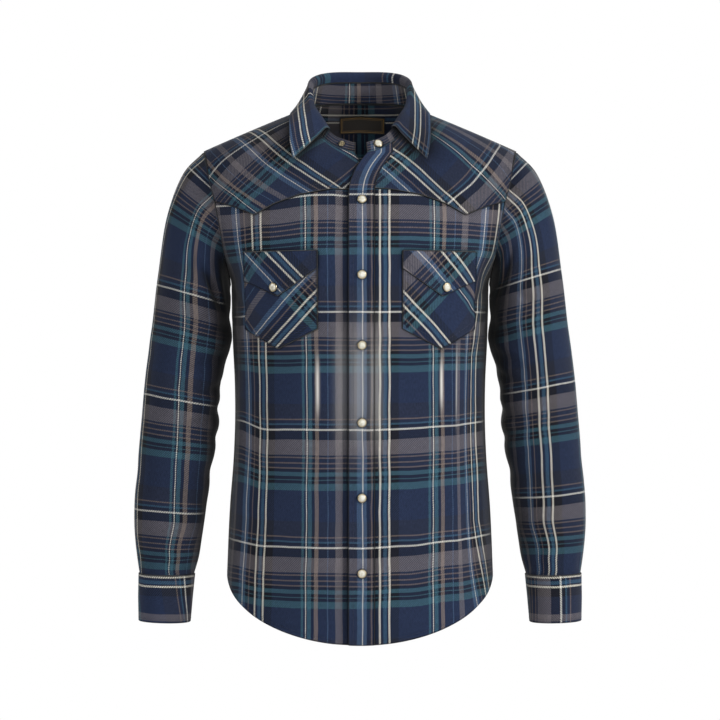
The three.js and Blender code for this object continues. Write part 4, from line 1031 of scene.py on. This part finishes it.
# ---------------------------------------------------------------- panels
# Stitches by distance from an edge, and along the hem by share of the height below the arms
INSETS = (1.8, 7.0)
HEM_STITCHES = {"front": 6.5 / 487, "back": 6.5 / 495}
NEAR_SEAM, LAP_STITCHES, PLACKET_STITCHES = 0.985, 27.0, 6.0
# Beside the armhole: share across, and shares of the height from and to
ARM_STITCHES = (0.965, 0.70, 0.80)
# Below this height a body's cloth lies level; above it the yoke's inner layer begins
YOKE_LEVEL = -118
# The inner yoke's cloth: height where it starts, stretch, and start across
INNER_YOKE = (-2, 1.25, 60.7)
YOKE_END, YOKE_OUT = 0.993, YOKE_GAP + WALL
# Where the pair of cream lines and the white line lie on each bias piece
BIAS_STARTS = {
    "yoke_left": (-8, 21), "yoke_right": (-113, -94), "yoke_back": (0, 40),
    "pocket_left": (-145, 28.5), "pocket_right": (143.5, 21),
    "pocket_flap_left": (-57, 20.5), "pocket_flap_right": (-226, -26.6),
}
# The right yoke's cloth is stretched across, and leans from this place down
YOKE_STRETCH, YOKE_LEAN, YOKE_LEAN_FROM = 1.18, 0.17, 94
# Corners of a pocket or flap below this height are on its foot
FOOT_BELOW = -210


def sides(points, whose):
    return points * mirrored(-1.0) if whose == "right" else points


def graded(start, middle, end, first, second):
    """Places in two even runs that meet in the middle."""
    return np.concatenate([np.linspace(start, middle, first)[:-1], np.linspace(middle, end, second)])


def height_of(line, x):
    return np.interp(x, *np.array(LINES[line], float).T)


def sew(node, grid, cloth, rows, held, flat, on=(), whose="left", look=PLAID, slot="plaid_cloth", **more):
    """One sheet of cloth with its rows of stitches; held, flat, on and slot are not used."""
    build = Build()
    add_sheet(build, *[sides(part, whose) for part in grid], cloth, **more)
    for row in rows:
        add_stitches(build, *[sides(part, whose) for part in row])
    piece = build.finish("shell_" + node, [look, THREAD])
    dress(piece, slot, node)


def front_piece(whose):
    rows = graded(0, LOWER_SHARE, 1, 150, 66)
    u = mix(moved_u(whose, rows, 0.0)[:, None], 1.0, np.linspace(0, 1, 104))
    v = np.broadcast_to(rows[:, None], u.shape)
    plain = smooth_panel("front", u, v)
    s = level_walk(plain) - LAP
    cloth = front_cloth(whose, s, plain[..., 2])

    def row(u, v):
        return panel("front", u, v, STITCH_LIFT, whose)

    low = np.full(160, HEM_STITCHES["front"] * LOWER_SHARE)
    stitches = [row(mix(moved_u(whose, low, 2.0), NEAR_SEAM, np.linspace(0, 1, 160)), low)]
    if whose == "right":
        edge = np.linspace(0.03, 0.93, 300)
        stitches.append(row(moved_u(whose, edge, LAP_STITCHES), edge))
    across, first, last = ARM_STITCHES
    stitches.append(row(np.full(90, across), np.linspace(first, last, 90)))
    sew("front_" + whose, panel("front", u, v, 0.0, whose), cloth, stitches, "hung",
        np.stack([s, cloth[..., 1]], -1), whose=whose, look=PLAID_FRONT[whose])


def back_piece():
    rows = graded(0, LOWER_SHARE, 1, 140, 76)
    u, v = np.meshgrid(np.linspace(-1, 1, 176), rows)
    plain = smooth_panel("back", np.abs(u), v) * mirrored(np.where(u < 0, -1, 1))
    s = level_walk(plain)
    s = s - s[:, -1:] / 2
    z = plain[..., 2]
    cloth = np.stack([s, LEVEL_LINE_Z - z], axis=-1)
    # The inner yoke layer is cut across the grain
    top, stretch, start = INNER_YOKE
    across = np.stack([(top - z) * stretch, s + start], axis=-1)
    inner = np.where((z > YOKE_LEVEL)[..., None], across, cloth)

    def both(u, v, out):
        return [part * mirrored(np.where(u < 0, -1, 1)) for part in panel("back", np.abs(u), v, out)]

    low = np.full(300, HEM_STITCHES["back"] * LOWER_SHARE)
    sew("back", both(u, v, 0.0), cloth, [both(np.linspace(-NEAR_SEAM, NEAR_SEAM, 300), low, STITCH_LIFT)],
        "hung", cloth, inner_cloth=inner)


def yoke_grid(side, u_start, columns, rows):
    """Grid between a yoke's foot and the top edge."""
    share = np.linspace(0, 1, columns)[None, :]
    up = np.linspace(0, 1, rows)[:, None]
    v = np.full((rows, columns), 0.8)
    for _ in range(EDGE_STEPS):
        u = mix(u_start(v), YOKE_END, share)
        v = mix(v_at(side, u, LINES[side + "_yoke_foot"]), 1.0, up)
    plain = smooth_panel(side, u, v)
    return u, v, plain, walked(plain) + plain[:1, :, 2]


def front_yoke(whose):
    moved = PLACKET_WIDTH + SEAM if whose == "left" else 0.0
    u, v, plain, up = yoke_grid("front", lambda v: moved_u(whose, v[:, 0], moved)[:, None], 90, 56)
    s = level_walk(plain) + plain[:, :1, 0]
    cloth = turned(s if whose == "left" else -s, up, False, BIAS_STARTS["yoke_" + whose])
    if whose == "right":
        cloth[..., 0] = YOKE_STRETCH * cloth[..., 0] - YOKE_LEAN * (cloth[..., 1] - YOKE_LEAN_FROM)

    def row(u, v):
        return panel("front", u, v, YOKE_OUT + STITCH_LIFT, whose)

    stitches = [row(u[0], v[0] + inset * MM * 2.0) for inset in INSETS]
    stitches.append(row(np.full(120, 0.955), np.linspace(v[0, -1] + 0.01, NEAR_SEAM, 120)))
    sew("front_yoke_" + whose, panel("front", u, v, YOKE_OUT, whose), cloth, stitches, "laid",
        np.stack([s, up], -1), ["front_" + whose], whose, PLAID_PAINTED_SHADE, "bias_plaid_cloth")


def back_yoke():
    u, v, plain, up = yoke_grid("back", lambda v: np.zeros(v.shape), 84, 62)

    def both(part, sign):
        return np.concatenate([(part * sign)[:, :0:-1], part], axis=1)

    s, up = both(level_walk(plain), -1), both(up, 1)
    # Seen from behind, the wearer's left is on the left
    cloth = turned(-s, up, False, BIAS_STARTS["yoke_back"])
    stitches = []
    for inset in INSETS:
        row = panel("back", u[0], v[0] + inset * MM * 1.9, YOKE_OUT + STITCH_LIFT)
        stitches += [row, [sides(part, "right") for part in row]]
    grid = [both(part, mirrored(-1.0)) for part in panel("back", u, v, YOKE_OUT)]
    sew("back_yoke", grid, cloth, stitches, "laid", np.stack([s, up], -1), ["back"],
        look=PLAID_PAINTED_SHADE, slot="bias_plaid_cloth")


def placket():
    rows = np.linspace(0, 1, 250)
    moved = np.linspace(0, PLACKET_WIDTH, 16)
    u = np.stack([moved_u("left", rows, m) for m in moved], axis=1)
    v = np.broadcast_to(rows[:, None], u.shape)
    plain = smooth_panel("front", u, v)
    # Above the yoke level the strip's length counts, as it leans back to the neck
    up = walked(plain)[:, 0]
    lifted = up - np.interp(YOKE_LEVEL, plain[:, 0, 2], up) + YOKE_LEVEL
    z = np.where(plain[:, :1, 2] < YOKE_LEVEL, plain[..., 2], lifted[:, None])
    cloth = front_cloth("left", np.broadcast_to(moved - LAP, z.shape), z)
    line = np.linspace(0.008, 0.99, 300)
    stitches = [
        panel("front", moved_u("left", line, place), line, LAYER + STITCH_LIFT, "left")
        for place in (PLACKET_STITCHES, PLACKET_WIDTH - PLACKET_STITCHES)
    ]
    sew("placket_left", panel("front", u, v, LAYER, "left"), cloth, stitches, "laid", cloth,
        ["front_left"], look=PLAID_FRONT["left"])


def laid_piece(kind, whose, rows, out, clockwise, under):
    """A pocket or its flap, cut on the bias."""
    name, foot, top = kind + "_" + whose, kind.split("_")[-1] + "_foot", LINES["flap_top"][0][1]
    share = np.linspace(0, 1, rows)[:, None]
    x = np.linspace(*POCKET_X, 46)[None, :]
    z = mix(height_of(foot, x), height_of("flap_top", x), share)
    x = np.broadcast_to(x, z.shape)
    u, v = locate("front", x, z)
    plain = smooth_panel("front", u, v)
    s = level_walk(plain) + POCKET_X[0]
    cloth = turned(s if whose == "left" else -s, plain[..., 2], clockwise, BIAS_STARTS[name])
    left, right = POCKET_X
    stitches = []
    for inset in INSETS:
        loop = np.array([(left, top), *LINES[foot], (right, top)], float)
        low = loop[:, 1] < FOOT_BELOW
        loop[:, 0] += inset * ((loop[:, 0] == left) * 1 - (loop[:, 0] == right) * 1)
        loop[low, 1] += inset
        at = np.linspace(0, len(loop) - 1, 160)
        lx, lz = (np.interp(at, np.arange(len(loop)), part) for part in loop.T)
        where = locate("front", lx, np.minimum(lz, top - 0.5))
        stitches.append(panel("front", *where, out + STITCH_LIFT, whose))
    sew(name, panel("front", u, v, out, whose), cloth, stitches, "laid",
        np.stack([s, plain[..., 2]], -1), [under + whose], whose, slot="bias_plaid_cloth")


def neck_label():
    x, share = np.meshgrid(np.linspace(*LABEL_X, 26), np.linspace(0, 1, 10))
    beside = np.abs(x)
    z = mix(height_of("label_foot", beside), height_of("label_top", beside), share)
    at, normal = panel("back", *locate("back", beside, z), -WALL - SEAM - LABEL_WALL)
    flip = mirrored(np.where(x < 0, -1, 1))
    cloth = np.stack([x - LABEL_X[0], share * LABEL_SIZE[1]], axis=-1)
    sew("neck_label", (at * flip, -normal * flip), cloth, [], "laid", cloth, ["back"],
        look=LABEL, slot="label_cloth", wall=LABEL_WALL)


# ---------------------------------------------------------------- sleeves and cuffs
# The cuff's crosswise stripes start anew at its lower band
CUFF_DEEP, CUFF_BAND = 64.5, 52.0
CUFF_START, CUFF_BAND_START = -8.5, 107.5
# Along the cuff: where the cloth starts and how it leans
CUFF_ALONG = {"left": (-117, 0.17), "right": (5.8, 0)}
CUFF_ROWS = (0.05, 0.93)
# Around the sleeve the strip's cloth starts this far on
STRIP_START, STRIP_ROWS = 150, (2.5, 27.5)


def sleeve_piece(whose):
    turns, ts = np.meshgrid(np.linspace(-180, 180, 109), graded(0, 0.12, 1, 18, 150))
    plain = smooth_sleeve(turns, ts)
    arc = walked(plain, 1)
    arc = arc - arc[:, 54:55]
    cloth = sleeve_cloth(whose, plain, arc)
    sew("sleeve_" + whose, sleeve(turns, ts, 0.0, whose), cloth, [], "hung",
        np.stack([arc, cloth[..., 1]], -1), ["front_" + whose, "back"], whose, PLAID_PAINTED_SHADE, closed=True)


def sleeve_placket(whose):
    peak = STRIP_POINT * (1 - np.abs(np.linspace(-1, 1, 14)))
    ts = mix(STRIP_FROM - peak, 0.993, np.linspace(0, 1, 40)[:, None])
    turns = np.broadcast_to(np.linspace(*STRIP_TURNS, 14), ts.shape)
    plain = smooth_sleeve(turns, ts)
    arc = walked(plain, 1)
    line = np.linspace(STRIP_FROM + 0.01, NEAR_SEAM, 80)
    stitches = [
        sleeve(np.full(80, STRIP_TURNS[0] + place), line, LAYER + STITCH_LIFT, whose) for place in STRIP_ROWS
    ]
    sew("sleeve_placket_" + whose, sleeve(turns, ts, LAYER, whose),
        sleeve_cloth(whose, plain, arc + STRIP_START), stitches, "laid",
        np.stack([arc, -plain[..., 2]], -1), ["sleeve_" + whose], whose, PLAID_PAINTED_SHADE)


def cuff_piece(whose):
    above = np.linspace(0, CUFF_BAND - 0.02, 26)
    distance = np.concatenate([above, np.linspace(CUFF_BAND, CUFF_DEEP, 8)])
    turns, distance = np.meshgrid(np.linspace(*CUFF_TURNS, 150), distance)
    at, normal = cuff(turns, distance / CUFF_DEEP, 0.0)
    arc = walked(at, 1)
    start, lean = CUFF_ALONG[whose]
    band = distance >= CUFF_BAND
    across = distance + np.where(band, CUFF_BAND_START - CUFF_BAND, CUFF_START)
    cloth = np.stack([across, arc + start + lean * distance], axis=-1)
    first, last = CUFF_TURNS[0] + 45, CUFF_TURNS[1] - 3.0
    line = np.linspace(first, last, 260)
    stitches = [cuff(line, np.full(260, place), STITCH_LIFT) for place in CUFF_ROWS]
    stitches.append(cuff(np.full(30, last), np.linspace(*CUFF_ROWS, 30), STITCH_LIFT))
    sew("cuff_" + whose, (at, normal), cloth, stitches, "folded",
        np.stack([arc, distance], -1), ["sleeve_" + whose], whose)


# ---------------------------------------------------------------- collar
# The stand's cloth: outside across and down, inside by height
STAND_START, STAND_DOWN, STAND_DEEP = 67.5 + 16.2, 60, 29
STAND_INNER, STAND_TOP_Z, STAND_STRETCH = 34, 29.7, 1.5
# The leaf's cloth: down from its edge, its lean along the leaf, and the ease at the back
LEAF_START, LEAF_LEAN, LEAF_TIP = 21.0, (1.7, 7.5, 110), (0.14, 156)
LEAF_EASE, LEAF_EASE_HALF, LEAF_MIDDLE = 29.5, 130, 40.5


def neck_ends():
    left, right = (float(90 * moved_u(w, np.ones(1), 0.0)[0] / NECK_SHARE) for w in ("left", "right"))
    return left, 360 - right


def from_back(turn, path):
    """Distance along a collar's path from the centre back, more to the wearer's left."""
    arc = walked(path)
    return np.interp(180, turn, arc) - arc


def collar_stand():
    turn = np.linspace(*neck_ends(), 220)
    turns, shares = np.meshgrid(turn, np.linspace(0, 1, 14))
    at, normal, _, _ = stand(turns, shares)
    across = np.broadcast_to(from_back(turn, ring(turn)) + STAND_START, turns.shape)
    level = shares * STAND_DEEP
    inner = np.stack([across, STAND_INNER + (STAND_TOP_Z - at[..., 2]) * STAND_STRETCH], axis=-1)
    stitches = []
    for place in (0.12, 0.9):
        path, out = stand(np.linspace(turn[0] + 2, turn[-1] - 2, 400), np.full(400, place))[:2]
        stitches.append((path + out * STITCH_LIFT, out))
    sew("collar_stand", (at, normal), np.stack([across, STAND_DOWN - level], axis=-1), stitches,
        "hung", np.stack([across, level], -1), ["front_left", "front_right", "back"], inner_cloth=inner)


def collar_leaf():
    right = 360 - np.linspace(LEAF_END["right"], 180, 110)
    turn = np.concatenate([np.linspace(LEAF_END["left"], 180, 110), right[::-1][1:]])
    turns, shares = np.meshgrid(turn, graded(0, 0.35, 1, 16, 26))
    at, normal = leaf(turns, shares)
    at = at + normal * WALL
    # Where it leaves the stand it faces the other way
    first = (1 - smooth(shares / 0.06))[..., None]
    normal = unit(mix(normal, -stand(turns, np.ones(turns.shape))[1], first))
    depth = walked(at)
    arc = from_back(turn, leaf_point(turn, np.full(turn.shape, 0.5)))
    start, end, half = LEAF_LEAN
    rate, tip = LEAF_TIP
    lean = mix(start + rate * np.maximum(0, -arc - tip), end, smooth((arc + half) / (2 * half)))
    # Eased at the back, so that both front ends show the plain field between the bands
    ease = 2 * smooth((arc + LEAF_EASE_HALF) / (2 * LEAF_EASE_HALF)) - 1
    along = np.broadcast_to(arc - LEAF_EASE * ease - LEAF_MIDDLE, turns.shape)
    cloth = np.stack([depth[-1:] - depth - LEAF_START - lean, along], axis=-1)

    def row(turn, share):
        path, out = leaf(*grids(turn, share))
        return path + out * (WALL + STITCH_LIFT), out

    stitches = [row(np.linspace(turn[0] + 4, turn[-1] - 4, 500), 0.9)]
    stitches += [row(end, np.linspace(0.34, 0.9, 80)) for end in (turn[0] + 4.2, turn[-1] - 4.2)]
    sew("collar_leaf", (at, normal), cloth, stitches, "folded",
        np.stack([np.broadcast_to(arc, turns.shape), depth], -1), ["collar_stand"])


# ---------------------------------------------------------------- snaps
# Outline of a snap by radius and height: a flared base, a rolled ring and a low pearl dome
RING = [
    (0, 0), (5.5, 0), (5.9, 0.35), (6.0, 0.8), (5.85, 1.25), (5.45, 1.55), (5.0, 1.6), (4.7, 1.35),
    (4.6, 1.1),
]
DOME = [(4.6, 1.1), (4.45, 1.5), (4.0, 1.95), (3.2, 2.3), (2.2, 2.5), (1.1, 2.58), (0, 2.6)]
POST = [
    (0, 0), (3.9, 0), (4.2, 0.3), (4.1, 0.7), (3.4, 0.85), (2.4, 0.8), (2.1, 1.2), (2.1, 2.2), (2.3, 2.7),
    (1.9, 3.1), (0, 3.2),
]
SNAP_SIDES, SMALLEST_RADIUS = 40, 0.02
# Any direction that no snap's axis has
SIDEWAYS = [0.31, 0.2, 0.93]


def lathe(build, profile, centre, axis, look):
    x = unit(np.cross(axis, SIDEWAYS))
    y = np.cross(axis, x)
    angle = np.linspace(0, 2 * math.pi, SNAP_SIDES, endpoint=False)
    radius, height = np.array(profile, float).T[..., None, None]
    around = np.cos(angle)[:, None] * x + np.sin(angle)[:, None] * y
    points = centre + height * axis + np.maximum(radius, SMALLEST_RADIUS) * around
    first, first_cloth = build.add(points, np.zeros(points.shape[:2] + (2,)))
    i, j = np.meshgrid(np.arange(len(profile) - 1), np.arange(SNAP_SIDES), indexing="ij")
    low, high, k = i * SNAP_SIDES, (i + 1) * SNAP_SIDES, (j + 1) % SNAP_SIDES
    corners = quads(low + j, low + k, high + k, high + j)
    build.face(first + corners, first_cloth + corners, look)


def snap_piece(node):
    """A snap on its solid's own base and axis."""
    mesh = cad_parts[node].data
    points = np.empty(len(mesh.vertices) * 3, np.float32)
    mesh.vertices.foreach_get("co", points)
    points = np.unique(np.round(points.reshape(-1, 3).astype(float) / MM, 3), axis=0)
    middle = points.mean(axis=0)
    axis = np.linalg.svd(points - middle)[2][2]
    height = (points - middle) @ axis
    radius = np.linalg.norm(points - middle - height[:, None] * axis, axis=1)
    # The widest part is near the base
    if height[radius > radius.max() * 0.97].mean() > 0:
        axis, height = -axis, -height
    base = middle + axis * height.min()
    build = Build()
    if node == "snap_collar_stud":
        lathe(build, POST, base, axis, 1)
    else:
        lathe(build, RING, base, axis, 1)
        lathe(build, DOME, base, axis, 0)
    piece = build.finish("shell_" + node, [PEARL, BRASS])
    dress(piece, "snap_metal" if node == "snap_collar_stud" else "snap_pearl", node)


# ---------------------------------------------------------------- the shirt
for whose in ("left", "right"):
    front_piece(whose)
    front_yoke(whose)
    laid_piece("pocket", whose, 52, LAYER, whose == "right", "front_")
    laid_piece("pocket_flap", whose, 26, LAYER + LAYER, False, "pocket_")
    sleeve_piece(whose)
    sleeve_placket(whose)
    cuff_piece(whose)
for build_one in (back_piece, back_yoke, placket, neck_label, collar_stand, collar_leaf):
    build_one()
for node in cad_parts:
    if node.startswith("snap_"):
        snap_piece(node)


# ---------------------------------------------------------------- stage
# In metres and watts: name, place, where it points, width, power
LIGHTS = [
    ("key_right", (2.4, -1.5, 0.7), (0, 0, -0.3), 0.9, 62),
    ("key_left", (-2.4, -1.5, 0.7), (0, 0, -0.3), 0.9, 24),
    ("fill", (0.2, -3.0, 0.1), (0, 0, -0.35), 1.6, 27),
    ("top", (0.2, 0.9, 2.0), (0, 0, -0.2), 1.6, 8),
    ("behind", (-0.8, 2.8, 0.2), (0, 0, -0.35), 1.6, 30),
]
SURROUND = 0.08
CAMERA_AWAY, CAMERA_Z, FIELD, SENSOR = 3.2, -0.345, 1.0008, 36
FLOOR_SIZE, FLOOR_Z = 60, -0.9
WHITE = (1, 1, 1, 1)


def placed(name, data):
    thing = bpy.data.objects.new(name, data)
    bpy.context.scene.collection.objects.link(thing)
    return thing


def set_stage():
    scene = bpy.context.scene
    # A white surround that is seen at full strength and lights the cloth only a little
    scene.world = bpy.data.worlds.new("studio")
    n = Nodes(scene.world)
    seen = n.tree.nodes["Background"]
    n.feed(seen, {0: WHITE, 1: 1.0})
    n.by_ray(n.new("ShaderNodeBackground", {0: WHITE, 1: SURROUND}), seen, "World Output")
    n = Nodes(bpy.data.materials.new("pale_floor"))
    n.surface((0.5, 0.5, 0.5, 1), Roughness=0.9, Specular_IOR_Level=0.0)
    n.by_ray(n.shader, n.new("ShaderNodeEmission"), "Material Output")
    bpy.ops.mesh.primitive_plane_add(size=FLOOR_SIZE, location=(0, 0, FLOOR_Z))
    floor = bpy.context.object
    floor.name = "pale_floor"
    floor.data.materials.append(n.owner)
    for name, place, aim, size, power in LIGHTS:
        light = bpy.data.lights.new(name, "AREA")
        light.size, light.energy = size, power
        lamp = placed(name, light)
        lamp.location = place
        lamp.rotation_euler = (Vector(aim) - Vector(place)).to_track_quat("-Z", "Y").to_euler()
    camera = bpy.data.cameras.new("camera")
    camera.sensor_width = SENSOR
    camera.lens = SENSOR * CAMERA_AWAY / FIELD
    view = placed("camera", camera)
    view.location = (0, -CAMERA_AWAY, CAMERA_Z)
    view.rotation_euler = (math.pi / 2, 0, 0)
    scene.camera = view
    scene.view_settings.view_transform = "Standard"


set_stage()
